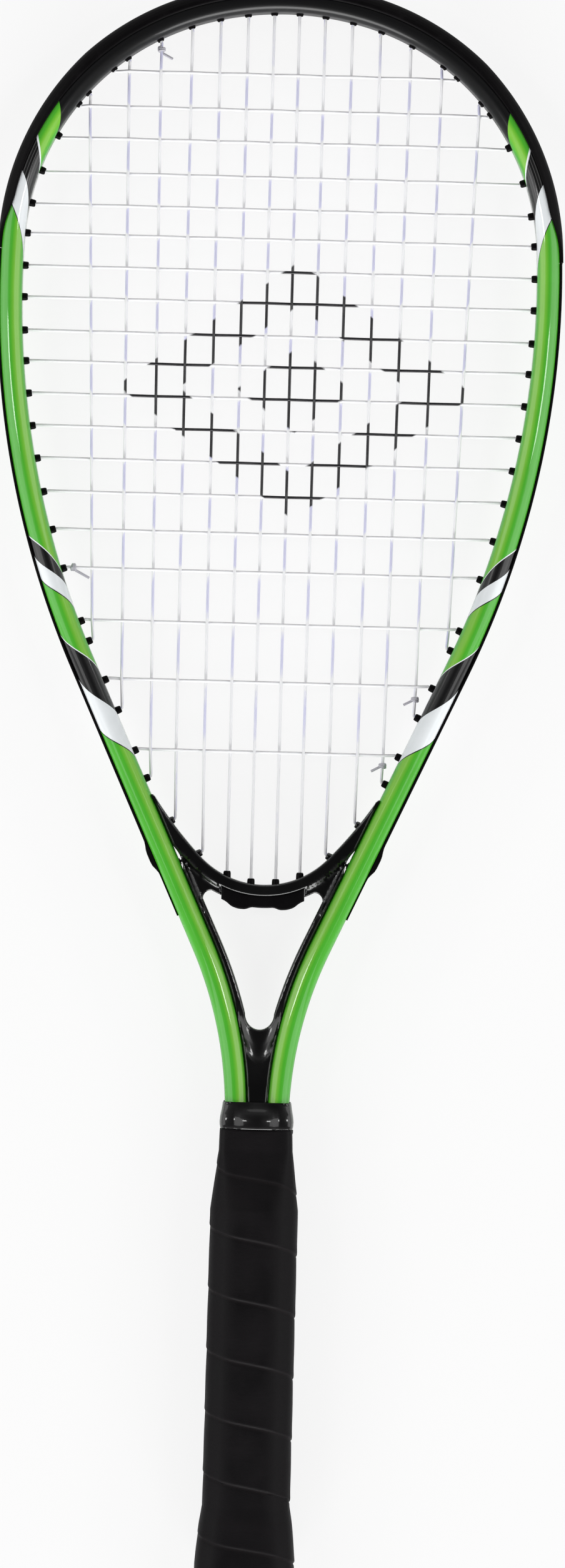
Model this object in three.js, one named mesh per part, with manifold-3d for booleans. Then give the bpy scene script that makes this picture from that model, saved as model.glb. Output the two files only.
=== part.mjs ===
// Crossminton racket: a bent aluminium tube, strung in its head, with a moulded throat piece
// and a wrapped handle. All lengths are in millimetres.
// The racket lies flat. +Y runs from the butt end to the head tip, +X across the head, and +Z
// stands square to the strings. The origin is the centre of the butt's end face. Heights go up
// from there: the grip's top carries the collar, then the throat, and the head's arcs above it
// bring the racket to 600 over all.

import * as THREE from 'three';
import { mergeVertices } from 'three/addons/utils/BufferGeometryUtils.js';
import Module from 'manifold-3d';

const wasm = await Module();
wasm.setup();

// Driving dimensions of the whole racket
const touchGap = 0.3;
const cutOverrun = 2;
const chordSag = 0.25;
const roundSteps = 4;

// Frame tube: a flat oval, hollow, grooved along the outside of the head
const tubeWidth = 8.4;
const tubeWall = 1.2;
const grooveDepth = 1.8;
const grooveShoulder = 0.3;
const grooveFadeLength = 8;
const crownRadius = 114;
const crownTurn = THREE.MathUtils.degToRad(16.8);
const cornerRadius = 94.5;
const cornerTurn = THREE.MathUtils.degToRad(70.4);
const sideRadius = 341;
const taperLean = THREE.MathUtils.degToRad(24.5);
const throatRadius = 155.6;
const shankSpacing = 15.6;
const shankEndHeight = 14;
const shankTopDrop = 6.455;

// Strings
const stringDiameter = 1.1;
const stringSides = 4;
const weaveGap = 0.5;
const loopSag = 0.12;
const laneSpacing = 3.1;
const pairSpacing = 1.6;
const tipBendLead = 0.4;
const laneShiftLength = 2;
const laneShiftShare = 1 / 3;
const tieShiftLength = 3;
const sampleStep = 0.7;
const ownRunApart = 6.6;
const mainTopShares = [0.049, 0.15, 0.257, 0.367, 0.488, 0.612, 0.769];
const mainBottomShares = [0.048, 0.1415, 0.242, 0.351, 0.447, 0.561, 0.662];
const crossRowShares = [
  0.929, 0.888, 0.851, 0.811, 0.774, 0.74, 0.703, 0.667, 0.629, 0.594,
  0.557, 0.52, 0.483, 0.445, 0.402, 0.358, 0.2985, 0.232, 0.152,
];

// Grommet strips and their barrels
const boreDiameter = 2;
const barrelWall = 0.5;
const barrelSides = 4;
const pairBarrelSides = 6;
const barrelReach = 2;
const crownBarrelReach = 0.9;
const crownReachShares = [0.56, 0.74];
const stripFloor = 0.8;
const stripSideWall = 0.3;
const stripHalfWidth = 4.4;
const stripEdgeBevel = 0.4;
const bumperProud = 2.7;
const bumperEndProud = 1.4;
const sideProud = 1;
const lowerProud = 0.5;
const swellProud = 1.9;
const bumperFadeShare = 0.5;
const bumperDrop = 95.3;
const swellTopRise = 13;
const swellFootRise = 9.5;
const swellRamp = 5;
const stripEndDrop = 10.5;

// Throat piece: the lower edge of the string bed, its webs, arms and yoke, moulded in one
const bridgeRise = 87.66;
const bridgeRadius = 33;
const bridgeTurn = THREE.MathUtils.degToRad(46);
const bridgeSteps = 6;
const hornRadius = 154.6;
const hornTurn = THREE.MathUtils.degToRad(56);
const hornSteps = 3;
const bridgeThickness = 4.2;
const bridgeTipThickness = 0.4;
const throatPieceDepth = 12;
const armThickness = 2.2;
const armFootThickness = 2.8;
const slitTopRise = 13.8;
const slitFootRise = 5;
const slitWidth = 1.2;
const archHalfWidth = 15.6;
const archSteps = 4;
const webThickness = 7.3;
const webSteps = 2;
const webCornerRadius = 3.2;
const crotchRise = 33.36;
const crotchDepth = 6;
const yokeClearance = 1.5;
const crotchSteps = 8;

// Grommet strip under the bridge, with a swelling over each of its two loops
const bridgeStripThickness = 4.1;
const bridgeStripInset = 0.4;
const bridgeStripDepth = 8.8;
const bridgeStripFloor = 0.8;
const bridgeSwell = 1.5;
const bridgeSlotSteps = 3;
const swellTurnShares = [0, 0.27, 0.4, 0.58, 0.75, 0.87, 1];
const swellHeightShares = [0, 0, 0.75, 1, 0.85, 0.15, 0];

// Knots that tie the string ends off
const knotDiameter = 3.2;
const knotLength = 2.4;
const knotWaistShare = 0.86;
const knotLobeShare = 1 / 3;
const knotStandoff = 0.4;
const knotSides = 8;
const tailLength = 6;
const tailTilt = THREE.MathUtils.degToRad(28);

// Handle: two moulded halves round the shanks, an octagon outside
const handleSideWall = 2;
const handleFaceWall = 3.9;
const handleBevelX = 8.3;
const handleBevelZ = 5.7;
const handleShoulderDrop = 30.3;
const handleTopDrop = 19.3;
const capSeatInset = 0.7;
const capSeatChamfer = 0.8;

// Butt cap: a flared cup over the foot of the handle
const capHeight = 24;
const capFloor = 3;
const capMouthWall = 1.3;
const capFlareWall = 2.7;
const capFlareHeight = 8;
const capFlareBend = 1.3;
const capEdgeRound = 2.4;
const capEdgeSteps = 3;

// Staples that hold the cap to the handle
const stapleCrown = 9;
const stapleLeg = 4.5;
const stapleWire = 0.9;
const stapleHeight = 18;
const staplePlay = 0.2;

// Grip: a tape wound round the handle, shown as one sleeve with its spiral seam
const gripThickness = 1.9;
const gripTopThickness = 1.3;
const gripFootHeight = 1.6;
const gripStepLength = 6;
const gripTopHeight = 171.3;
const gripShoulderDrop = 8.3;
const seamPitch = 23;
const seamWidth = 1.5;
const seamDepth = 0.5;
const seamStartHeight = 7.2;
const seamEndClearance = 5;

// Collar: the rubber sleeve over the end of the grip
const collarLength = 9.7;
const collarWall = 1.15;
const collarLipWall = 0.5;
const collarShoulder = 4.5;
const collarLipLength = 1.6;

const stringRadius = stringDiameter / 2;
const boreRadius = boreDiameter / 2;
const barrelRadius = boreRadius + barrelWall;
const tubeHalf = tubeWidth / 2;
const laneOffset = laneSpacing / 2;
const pairOffset = pairSpacing / 2;
const weaveHeight = stringRadius + weaveGap / 2;
const stripFootLevel = tubeHalf - grooveDepth + touchGap;
const stripFloorLevel = stripFootLevel + stripFloor;
const laneLevel = stripFloorLevel + touchGap + stringRadius;
const channelHalf = laneOffset + stringRadius + touchGap;
const grooveHalf = channelHalf + stripSideWall + touchGap;
const flatHalf = grooveHalf + grooveShoulder;
const tubeDepth = tubeWidth + 2 * flatHalf;
const pieceFaceLevel = tubeHalf + touchGap;

const handleFootHeight = capFloor + touchGap;
const handleShoulderHeight = gripTopHeight - handleShoulderDrop;
const handleTopHeight = gripTopHeight - handleTopDrop;
const gripShoulderHeight = gripTopHeight - gripShoulderDrop;
const collarTopHeight = gripTopHeight + touchGap + collarLength;
const shankTopHeight = collarTopHeight - shankTopDrop;
const crotchHeight = shankTopHeight + crotchRise;
const bridgeCrestHeight = shankTopHeight + bridgeRise;

// Rail: the centre line of the right half of the tube, from the crown to the shank end, as arcs
// and straights measured by distance from the crown. The left half is its mirror image. The
// arcs set how far the crown stands above the place where the shanks start to part.
function layRail() {
  const pieces = [];
  const at = { x: 0, y: 0, angle: 0, start: 0 };
  const add = (length, curvature) => {
    pieces.push({ ...at, length, curvature });
    Object.assign(at, followPiece(pieces.at(-1), length), { start: at.start + length });
  };
  const lean = Math.PI / 2 + taperLean;
  add(crownRadius * crownTurn, 1 / crownRadius);
  add(cornerRadius * cornerTurn, 1 / cornerRadius);
  add(sideRadius * (lean - at.angle), 1 / sideRadius);
  const throatShift = throatRadius * (1 - Math.cos(taperLean));
  add((at.x - throatShift - shankSpacing / 2) / Math.sin(taperLean), 0);
  add(throatRadius * taperLean, -1 / throatRadius);
  const rise = shankTopHeight - at.y;
  add(shankTopHeight - shankEndHeight, 0);
  return pieces.map((piece) => ({ ...piece, y: piece.y + rise }));
}

function followPiece(piece, distance) {
  const angle = piece.angle + piece.curvature * distance;
  if (piece.curvature === 0) {
    const x = piece.x + distance * Math.cos(angle);
    const y = piece.y - distance * Math.sin(angle);
    return { x, y, angle };
  }
  const x = piece.x + (Math.sin(angle) - Math.sin(piece.angle)) / piece.curvature;
  const y = piece.y - (Math.cos(piece.angle) - Math.cos(angle)) / piece.curvature;
  return { x, y, angle };
}

const rail = layRail();
const railLength = rail.at(-1).start + rail.at(-1).length;

// A point beside the rail: distance is signed (left half below zero), out is away from the strings
function railPoint(distance, out = 0, height = 0) {
  const along = Math.min(Math.abs(distance), railLength);
  const piece = rail.findLast((entry) => entry.start <= along);
  const spot = followPiece(piece, along - piece.start);
  const x = spot.x + out * Math.sin(spot.angle);
  const y = spot.y + out * Math.cos(spot.angle);
  return new THREE.Vector3(distance < 0 ? -x : x, y, height);
}

function railOutward(distance) {
  return railPoint(distance, 1).sub(railPoint(distance));
}

// Halves the span until the rail meets the test, which falls from above zero to below it
function findOnRail(test, low, high) {
  let [from, to] = [low, high];
  const halvings = 50;
  for (let i = 0; i < halvings; i += 1) {
    const middle = (from + to) / 2;
    if (test(middle) > 0) from = middle;
    else to = middle;
  }
  return (from + to) / 2;
}

function railAtHeight(height, out = 0) {
  return findOnRail((distance) => railPoint(distance, out).y - height, 0, railLength);
}

// Stations of the right half, spaced so that a chord strays from its arc by the chord sag
function railStations() {
  const stations = [0];
  for (const piece of rail) {
    const radius = piece.curvature === 0 ? Infinity : 1 / Math.abs(piece.curvature);
    const chord = Math.sqrt(8 * chordSag * radius);
    const count = Math.max(1, Math.ceil(piece.length / chord));
    for (let i = 1; i <= count; i += 1) stations.push(piece.start + (piece.length * i) / count);
  }
  return stations;
}

const halfStations = railStations();

function stationsBetween(from, to) {
  const all = [...halfStations.slice(1).map((s) => -s).reverse(), ...halfStations];
  const least = touchGap;
  const inner = all.filter((s) => s > from + least && s < to - least);
  return [from, ...inner, to];
}

// Geometry helpers

function closedGeometry(points, faces) {
  const used = faces.filter(([a, b, c]) => a !== b && b !== c && c !== a);
  let volume = 0;
  for (const [a, b, c] of used) {
    volume += points[a].dot(new THREE.Vector3().crossVectors(points[b], points[c]));
  }
  const ordered = volume < 0 ? used.map(([a, b, c]) => [a, c, b]) : used;
  const geometry = new THREE.BufferGeometry();
  const numbers = points.flatMap((point) => point.toArray());
  geometry.setAttribute('position', new THREE.Float32BufferAttribute(numbers, 3));
  geometry.setIndex(ordered.flat());
  return geometry;
}

// Skins rings of equal point count, and closes each end with a fan over its outline
function loft(rings) {
  const count = rings[0].length;
  const faces = [];
  for (let r = 0; r + 1 < rings.length; r += 1) {
    for (let i = 0; i < count; i += 1) {
      const [a, b] = [r * count + i, r * count + ((i + 1) % count)];
      faces.push([a, b, b + count], [a, b + count, a + count]);
    }
  }
  const last = (rings.length - 1) * count;
  const flat = flattenRing(rings[0]);
  for (const [a, b, c] of THREE.ShapeUtils.triangulateShape(flat, [])) {
    faces.push([a, c, b], [last + a, last + b, last + c]);
  }
  return closedGeometry(rings.flat(), orientCaps(rings, faces, count));
}

// Turns the end faces to match the skin: each must use the outline's edges the other way round
function orientCaps(rings, faces, count) {
  const skinCount = 2 * count * (rings.length - 1);
  const skin = faces.slice(0, skinCount);
  const caps = faces.slice(skinCount);
  const edges = new Set(skin.flatMap(([a, b, c]) => [`${a},${b}`, `${b},${c}`, `${c},${a}`]));
  const clash = ([a, b, c]) => edges.has(`${a},${b}`) || edges.has(`${b},${c}`) || edges.has(`${c},${a}`);
  const turned = caps.some(clash) ? caps.map(([a, b, c]) => [a, c, b]) : caps;
  return [...skin, ...turned];
}

function flattenRing(ring) {
  const centre = ring.reduce((sum, point) => sum.add(point), new THREE.Vector3());
  centre.divideScalar(ring.length);
  const normal = new THREE.Vector3();
  ring.forEach((point, i) => {
    const next = ring[(i + 1) % ring.length];
    normal.add(new THREE.Vector3().crossVectors(point.clone().sub(centre), next.clone().sub(centre)));
  });
  normal.normalize();
  const across = ring[1].clone().sub(ring[0]);
  across.addScaledVector(normal, -across.dot(normal)).normalize();
  const up = new THREE.Vector3().crossVectors(normal, across);
  return ring.map((point) => {
    const arm = point.clone().sub(centre);
    return new THREE.Vector2(arm.dot(across), arm.dot(up));
  });
}

function toSolid(geometry) {
  const bare = new THREE.BufferGeometry();
  bare.setAttribute('position', geometry.getAttribute('position'));
  if (geometry.index) bare.setIndex(geometry.index);
  const merged = mergeVertices(bare);
  const vertProperties = new Float32Array(merged.getAttribute('position').array);
  const triVerts = new Uint32Array(merged.index.array);
  return new wasm.Manifold(new wasm.Mesh({ numProp: 3, vertProperties, triVerts }));
}

function fromSolid(solid) {
  const mesh = solid.getMesh();
  const geometry = new THREE.BufferGeometry();
  const places = new THREE.Float32BufferAttribute(mesh.vertProperties, mesh.numProp);
  geometry.setAttribute('position', places);
  geometry.setIndex([...mesh.triVerts]);
  return geometry;
}

// Adds and cuts pieces one after another
function carve(base, added, removed) {
  let solid = toSolid(base);
  for (const geometry of added) solid = solid.add(toSolid(geometry));
  for (const geometry of removed) solid = solid.subtract(toSolid(geometry));
  return fromSolid(solid);
}

// A tube of flat-sided runs along a path, mitred at each bend
function sweepTube(path, radius, sides) {
  const runs = path.slice(1).map((point, i) => point.clone().sub(path[i]).normalize());
  const side = new THREE.Vector3(0, 0, 1);
  if (Math.abs(side.dot(runs[0])) > Math.SQRT1_2) side.set(1, 0, 0);
  side.addScaledVector(runs[0], -side.dot(runs[0])).normalize();
  const rings = path.map((point, i) => {
    const into = runs[Math.max(i - 1, 0)];
    const away = runs[Math.min(i, runs.length - 1)];
    const mitre = into.clone().add(away).normalize();
    const other = new THREE.Vector3().crossVectors(into, side);
    const ring = ringAngles(sides).map((angle) => {
      const arm = side.clone().multiplyScalar(radius * Math.cos(angle));
      arm.addScaledVector(other, radius * Math.sin(angle));
      arm.addScaledVector(into, -arm.dot(mitre) / into.dot(mitre));
      return point.clone().add(arm);
    });
    const bend = new THREE.Quaternion().setFromUnitVectors(into, away);
    side.applyQuaternion(bend);
    return ring;
  });
  return loft(rings);
}

function evenShares(steps) {
  return Array.from({ length: steps + 1 }, (_, i) => i / steps);
}

function ringAngles(sides) {
  return Array.from({ length: sides }, (_, i) => (2 * Math.PI * i) / sides);
}

// A straight prism from one point to another, stretched along Z by the spread to each side.
// Its first corner points along Z, so that barrels and the holes round them stay in line.
function prism(from, to, radius, sides, spread = 0) {
  const run = to.clone().sub(from).normalize();
  const up = new THREE.Vector3(0, 0, 1);
  const across = new THREE.Vector3().crossVectors(run, up).normalize();
  const ringAt = (centre) => ringAngles(sides).map((angle) => {
    const height = radius * Math.cos(angle);
    const point = centre.clone().addScaledVector(across, radius * Math.sin(angle));
    return point.addScaledVector(up, height + spread * Math.sign(height));
  });
  return loft([ringAt(from), ringAt(to)]);
}

// Frame tube

const collarEnd = railAtHeight(collarTopHeight);
const stripEnd = railAtHeight(bridgeCrestHeight - stripEndDrop);
const grooveEnd = stripEnd + grooveFadeLength;
const bumperEnd = railAtHeight(rail[0].y - bumperDrop);

function grooveShare(distance) {
  return THREE.MathUtils.clamp((grooveEnd - Math.abs(distance)) / grooveFadeLength, 0, 1);
}

function tubeOutline(distance) {
  const floor = tubeHalf - grooveDepth * grooveShare(distance);
  const halfTurn = evenShares(roundSteps).map((turnShare) => turnShare * Math.PI);
  const front = halfTurn.map((a) => [tubeHalf * Math.cos(a), flatHalf + tubeHalf * Math.sin(a)]);
  const back = front.map(([out, height]) => [-out, -height]);
  return [...front, ...back, [floor, -grooveHalf], [floor, grooveHalf]];
}

function tubeBore(distance) {
  const share = grooveShare(distance);
  const radius = tubeHalf - tubeWall;
  const near = radius - grooveDepth * share;
  const nearHeight = THREE.MathUtils.lerp(flatHalf, grooveHalf + tubeWall, share);
  const top = flatHalf + radius;
  const front = [[near, nearHeight], [0, top], [-radius, flatHalf]];
  const back = [[-radius, -flatHalf], [0, -top], [near, -nearHeight]];
  return [...front, ...back];
}

// Lays an outline of [out, height] pairs along the rail
function railLoft(stations, outline) {
  const ringAt = (s) => outline(s).map(([out, height]) => railPoint(s, out, height));
  return loft(stations.map(ringAt));
}

function tubeStations() {
  const marks = [collarEnd, stripEnd, grooveEnd, ...halfStations].sort((a, b) => a - b);
  const apart = (s, i) => i === 0 || s - marks[i - 1] > touchGap;
  const half = marks.filter(apart).filter((s) => s > 0 && s < railLength - touchGap);
  return [-railLength, ...half.map((s) => -s).reverse(), 0, ...half, railLength];
}

// Beyond the shank ends the bore runs on straight, so that it cuts both of them open
function boreLoft() {
  const rings = tubeStations().map((s) => tubeBore(s).map(([out, z]) => railPoint(s, out, z)));
  const longer = (ring) => ring.map((p) => p.clone().setY(p.y - cutOverrun));
  rings[0] = longer(rings[0]);
  rings[rings.length - 1] = longer(rings.at(-1));
  return loft(rings);
}

// Ports: where a string passes through the tube or the bridge.
// A rail port has its place on the rail and the level of its inner end. own and guest are the
// heights of the strings in it: a port that also takes a tied end holds two, side by side.

const bedTop = rail[0].y - tubeHalf;
const bedLength = bedTop - bridgeCrestHeight;
const widest = rail[2].start;
const bedHalfWidth = Math.max(...halfStations.map((s) => railPoint(s).x)) - tubeHalf;
const rowHeights = crossRowShares.map((share) => bridgeCrestHeight + share * bedLength);

// Barrels stand out less round the crown
function tipLevelAt(distance) {
  const [start, end] = crownReachShares.map((share) => share * bumperEnd);
  const share = THREE.MathUtils.smoothstep(Math.abs(distance), start, end);
  return -(tubeHalf + THREE.MathUtils.lerp(crownBarrelReach, barrelReach, share));
}

function tipPoint(distance) {
  return railPoint(distance, tipLevelAt(distance));
}

function portAt(distance) {
  return { kind: 'rail', at: distance, tip: tipLevelAt(distance) };
}

function mainLine(index) {
  const order = index < mainTopShares.length ? -1 : 1;
  const place = order < 0 ? mainTopShares.length - 1 - index : index - mainTopShares.length;
  const top = new THREE.Vector3(order * mainTopShares[place] * bedHalfWidth, bedTop, 0);
  const bottom = new THREE.Vector3(order * mainBottomShares[place] * bedHalfWidth, bridgeCrestHeight, 0);
  return { order, place, top, bottom };
}

function mainX(index, height) {
  const { top, bottom } = mainLine(index);
  return THREE.MathUtils.lerp(bottom.x, top.x, (height - bridgeCrestHeight) / bedLength);
}

const mainCount = 2 * mainTopShares.length;
const rowCount = crossRowShares.length;
const mains = Array.from({ length: mainCount }, (_, i) => i);
const rows = Array.from({ length: rowCount }, (_, i) => i);

// The bridge's string edge: an arc at the middle, a flatter arc up each horn, and then straight
const bridgeCentreHeight = bridgeCrestHeight + bridgeRadius;

function bridgePoint(turn, inward = 0) {
  const radius = bridgeRadius + inward;
  return new THREE.Vector2(radius * Math.sin(turn), bridgeCentreHeight - radius * Math.cos(turn));
}

function hornPoint(turn) {
  const along = hornRadius * (Math.sin(turn) - Math.sin(bridgeTurn));
  const up = hornRadius * (Math.cos(bridgeTurn) - Math.cos(turn));
  return bridgePoint(bridgeTurn).add(new THREE.Vector2(along, up));
}

function bridgeEdgeHeight(x) {
  const across = Math.abs(x);
  const arcEnd = bridgePoint(bridgeTurn);
  const hornEnd = hornPoint(hornTurn);
  if (across <= arcEnd.x) return bridgeCentreHeight - Math.sqrt(bridgeRadius ** 2 - across ** 2);
  if (across >= hornEnd.x) return hornEnd.y + (across - hornEnd.x) * Math.tan(hornTurn);
  return hornPoint(Math.asin(Math.sin(bridgeTurn) + (across - arcEnd.x) / hornRadius)).y;
}

function topPort(index) {
  const { order } = mainLine(index);
  const inward = (s) => Math.abs(mainX(index, tipPoint(s).y)) - tipPoint(s).x;
  return portAt(order * findOnRail(inward, 0, widest));
}

// The outer lower mains end in the tube's sides, the next two cross the bridge on their way to
// the tube, and the middle four end in the bridge itself
const sideMains = 3;
const slantMains = 2;

function bottomPort(index) {
  const { order, place } = mainLine(index);
  const fromSide = mainTopShares.length - 1 - place;
  if (fromSide < sideMains) {
    const outward = (s) => tipPoint(s).x - Math.abs(mainX(index, tipPoint(s).y));
    return portAt(order * findOnRail(outward, widest, railLength));
  }
  const edge = bridgeEdgeHeight(mainX(index, bridgeCrestHeight));
  const x = mainX(index, edge);
  const tip = new THREE.Vector3(x, bridgeEdgeHeight(x) + barrelReach, 0);
  if (fromSide >= sideMains + slantMains) return { kind: 'bridge', x, tip };
  const aside = (s) => {
    const arm = new THREE.Vector3(Math.abs(tip.x), tip.y, 0).sub(railPoint(s));
    const outward = railOutward(s);
    return -(arm.x * outward.y - arm.y * outward.x);
  };
  const spot = findOnRail((s) => -aside(s), widest, rail[4].start);
  const level = new THREE.Vector3(Math.abs(tip.x), tip.y, 0).sub(railPoint(spot)).dot(railOutward(spot));
  return { kind: 'slant', at: order * spot, tip: level };
}

const mainTops = mains.map(topPort);
const mainFeet = mains.map(bottomPort);
const rowEnds = rows.map((row) => {
  const spot = findOnRail((s) => tipPoint(s).y - rowHeights[row], 0, railLength);
  return [-1, 1].map((order) => portAt(order * spot));
});

// Tied ends, each sharing the port of a neighbour
function share(port, guest) {
  Object.assign(port, { own: -guest * pairOffset, guest: guest * pairOffset });
  return port;
}

const firstMain = 0;
const lastMain = mainCount - 1;
const lastRow = rowCount - 1;
const mainTieRow = lastRow - 3;
const rowTieMain = firstMain + 2;
const firstMainTie = share(rowEnds[mainTieRow][0], -1);
const lastMainTie = share(mainFeet[lastMain - 1], 1);
const firstRowTie = share(mainTops[rowTieMain], 1);
const lastRowTie = share(mainFeet[lastMain - 2], 1);

const railPorts = [...mainTops, ...mainFeet, ...rowEnds.flat()].filter((port) => port.kind !== 'bridge');
const bridgePorts = mainFeet.filter((port) => port.kind === 'bridge');
const slantPorts = mainFeet.filter((port) => port.kind === 'slant');

// A prism along a rail port between two levels
function portPrism(port, from, to, radius) {
  const shared = port.own !== undefined;
  const sides = shared ? pairBarrelSides : barrelSides;
  const spread = shared ? pairOffset : 0;
  return prism(railPoint(port.at, from), railPoint(port.at, to), radius, sides, spread);
}

function tubeHole(port) {
  const reach = tubeHalf + cutOverrun;
  return portPrism(port, reach, -reach, barrelRadius + touchGap);
}

function makeFrameTube() {
  const body = railLoft(tubeStations(), tubeOutline);
  return carve(body, [], [boreLoft(), ...railPorts.map(tubeHole)]);
}

// Grommet strips: a channel that lies in the tube's groove, with a barrel for each port

function stripOutline(proud) {
  const top = tubeHalf + proud;
  const lipHalf = flatHalf - touchGap;
  const footHalf = grooveHalf - touchGap;
  const half = [
    [stripFootLevel, footHalf],
    [pieceFaceLevel, lipHalf],
    [pieceFaceLevel, stripHalfWidth],
    [top, stripHalfWidth - stripEdgeBevel],
    [top, channelHalf],
    [stripFloorLevel, channelHalf],
  ];
  const mirrored = half.map(([out, height]) => [out, -height]).reverse();
  return [...half, ...mirrored];
}

function bumperProudAt(distance) {
  const share = (Math.abs(distance) / bumperEnd - bumperFadeShare) / (1 - bumperFadeShare);
  const fade = THREE.MathUtils.clamp(share, 0, 1);
  return THREE.MathUtils.lerp(bumperProud, bumperEndProud, fade * (2 - fade));
}

const swellTop = railAtHeight(bridgeCrestHeight + swellTopRise);
const swellFoot = railAtHeight(bridgeCrestHeight + swellFootRise);
const sideSwellMarks = [swellTop - swellRamp, swellTop, swellFoot, swellFoot + swellRamp];

function sideProudAt(distance) {
  const [start, top, foot, end] = sideSwellMarks;
  const s = Math.abs(distance);
  const low = THREE.MathUtils.lerp(sideProud, lowerProud, THREE.MathUtils.smoothstep(s, top, foot));
  const swell = Math.min(THREE.MathUtils.smoothstep(s, start, top), THREE.MathUtils.smoothstep(-s, -end, -foot));
  return THREE.MathUtils.lerp(low, swellProud, swell);
}

function stripBarrels(from, to) {
  const ports = railPorts.filter((port) => port.at > from && port.at < to);
  const root = (stripFootLevel + stripFloorLevel) / 2;
  const endOf = (port) => (port.kind === 'slant' ? -tubeHalf : port.tip);
  const barrels = ports.map((port) => portPrism(port, root, endOf(port), barrelRadius));
  const bores = ports.map((port) => {
    const past = endOf(port) - cutOverrun;
    return portPrism(port, stripFloorLevel + cutOverrun, past, boreRadius);
  });
  return { barrels, bores };
}

function makeStrip(from, to, marks, proudAt) {
  const stations = [...new Set([...stationsBetween(from, to), ...marks])].sort((a, b) => a - b);
  const apart = stations.filter((s, i) => i === 0 || s - stations[i - 1] > touchGap);
  const body = railLoft(apart, (s) => stripOutline(proudAt(s)));
  const { barrels, bores } = stripBarrels(from, to);
  return carve(body, barrels, bores);
}

function makeHeadBumper() {
  const reach = bumperEnd - touchGap / 2;
  return makeStrip(-reach, reach, [], bumperProudAt);
}

function makeSideStrip(order) {
  const [near, far] = [bumperEnd + touchGap / 2, stripEnd];
  const [from, to] = order < 0 ? [-far, -near] : [near, far];
  const marks = sideSwellMarks.map((mark) => order * mark);
  return makeStrip(from, to, marks, sideProudAt);
}

// Throat piece

function armEdge(level, fromHeight, toHeight) {
  const from = railAtHeight(fromHeight, level);
  const to = railAtHeight(toHeight, level);
  const points = stationsBetween(from, to).map((s) => railPoint(s, level));
  return points.map((point) => new THREE.Vector2(point.x, point.y));
}

// An arm's inner edge beside the opening. The arm thickens from the bridge to the crotch.
function armInner(distance) {
  const share = (bridgeCrestHeight - railPoint(distance).y) / (bridgeCrestHeight - crotchHeight);
  const thickness = THREE.MathUtils.lerp(armThickness, armFootThickness, THREE.MathUtils.clamp(share, 0, 1) ** 2);
  const point = railPoint(distance, -(pieceFaceLevel + thickness));
  return new THREE.Vector2(point.x, point.y);
}

// The height at which the horn's edge comes within the given distance of the tube
function bridgeTipHeight(thickness) {
  const facing = (s) => {
    const point = railPoint(s, -(pieceFaceLevel + thickness));
    return point.y - bridgeEdgeHeight(point.x);
  };
  return railPoint(findOnRail(facing, widest, rail[4].start), -(pieceFaceLevel + thickness)).y;
}

function throatOutline() {
  const face = -pieceFaceLevel;
  const slitTop = bridgeCrestHeight + slitTopRise;
  const slitFoot = bridgeCrestHeight + slitFootRise;
  const edge = evenShares(bridgeSteps).map((turnShare) => bridgePoint(bridgeTurn * turnShare));
  const tipHeight = bridgeTipHeight(bridgeTipThickness);
  const tipInner = railPoint(railAtHeight(tipHeight, face - bridgeTipThickness), face - bridgeTipThickness);
  const horn = evenShares(hornSteps).slice(1, -1).map((share) => {
    const x = THREE.MathUtils.lerp(edge.at(-1).x, tipInner.x, share);
    return new THREE.Vector2(x, bridgeEdgeHeight(x));
  });
  const upperSide = armEdge(face, tipHeight, slitTop);
  const slitCorner = railPoint(railAtHeight(slitFoot, face - slitWidth), face - slitWidth);
  const lowerSide = armEdge(face, slitFoot, handleTopHeight + yokeClearance);
  const right = [
    ...edge,
    ...horn,
    new THREE.Vector2(tipInner.x, tipInner.y),
    ...upperSide,
    new THREE.Vector2(slitCorner.x, slitCorner.y),
    ...lowerSide,
  ];
  const left = right.slice(1).map((point) => new THREE.Vector2(-point.x, point.y)).reverse();
  return [...right, ...left].reverse();
}

// The opening runs under the bridge strip's seat, steps down to the thicker web beside it, and
// turns a round corner down the arm into the crotch
function throatOpening() {
  const under = bridgeRadius + bridgeThickness;
  const archTurn = Math.asin(archHalfWidth / under);
  const arch = evenShares(archSteps).map((turnShare) => bridgePoint(archTurn * turnShare, bridgeThickness));
  const webGap = (s) => {
    const spot = armInner(s);
    return spot.y + webCornerRadius - bridgeUnderHeight(spot.x - webCornerRadius, webThickness);
  };
  const cornerAt = findOnRail(webGap, railAtHeight(bridgeCrestHeight, -pieceFaceLevel), rail[4].start);
  const footAt = findOnRail((s) => armInner(s).y - crotchHeight - crotchDepth, cornerAt, railLength);
  const side = stationsBetween(cornerAt, footAt).map(armInner);
  const corner = side[0];
  const [webStart, webEnd] = [archHalfWidth, corner.x - webCornerRadius];
  const web = evenShares(webSteps).slice(0, -1).map((share) => {
    const x = THREE.MathUtils.lerp(webStart, webEnd, share);
    return new THREE.Vector2(x, bridgeUnderHeight(x, webThickness));
  });
  const cornerTurns = evenShares(roundSteps).map((turnShare) => (turnShare * Math.PI) / 2).slice(1).reverse();
  const rounded = cornerTurns.map((turn) => new THREE.Vector2(
    corner.x - webCornerRadius + webCornerRadius * Math.cos(turn),
    corner.y + webCornerRadius * Math.sin(turn),
  ));
  const low = side.at(-1);
  const bowl = evenShares(crotchSteps).slice(1).map((turnShare) => {
    const turn = (Math.PI / 2) * turnShare;
    return new THREE.Vector2(low.x * Math.cos(turn), low.y - crotchDepth * Math.sin(turn));
  });
  const right = [...arch, ...web, ...rounded, ...side, ...bowl];
  const left = right.slice(1, -1).map((point) => new THREE.Vector2(-point.x, point.y)).reverse();
  return [...right, ...left];
}

function slantNub(port) {
  const root = port.tip + barrelReach + bridgeThickness / 2;
  return portPrism(port, root, port.tip, barrelRadius);
}

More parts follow.
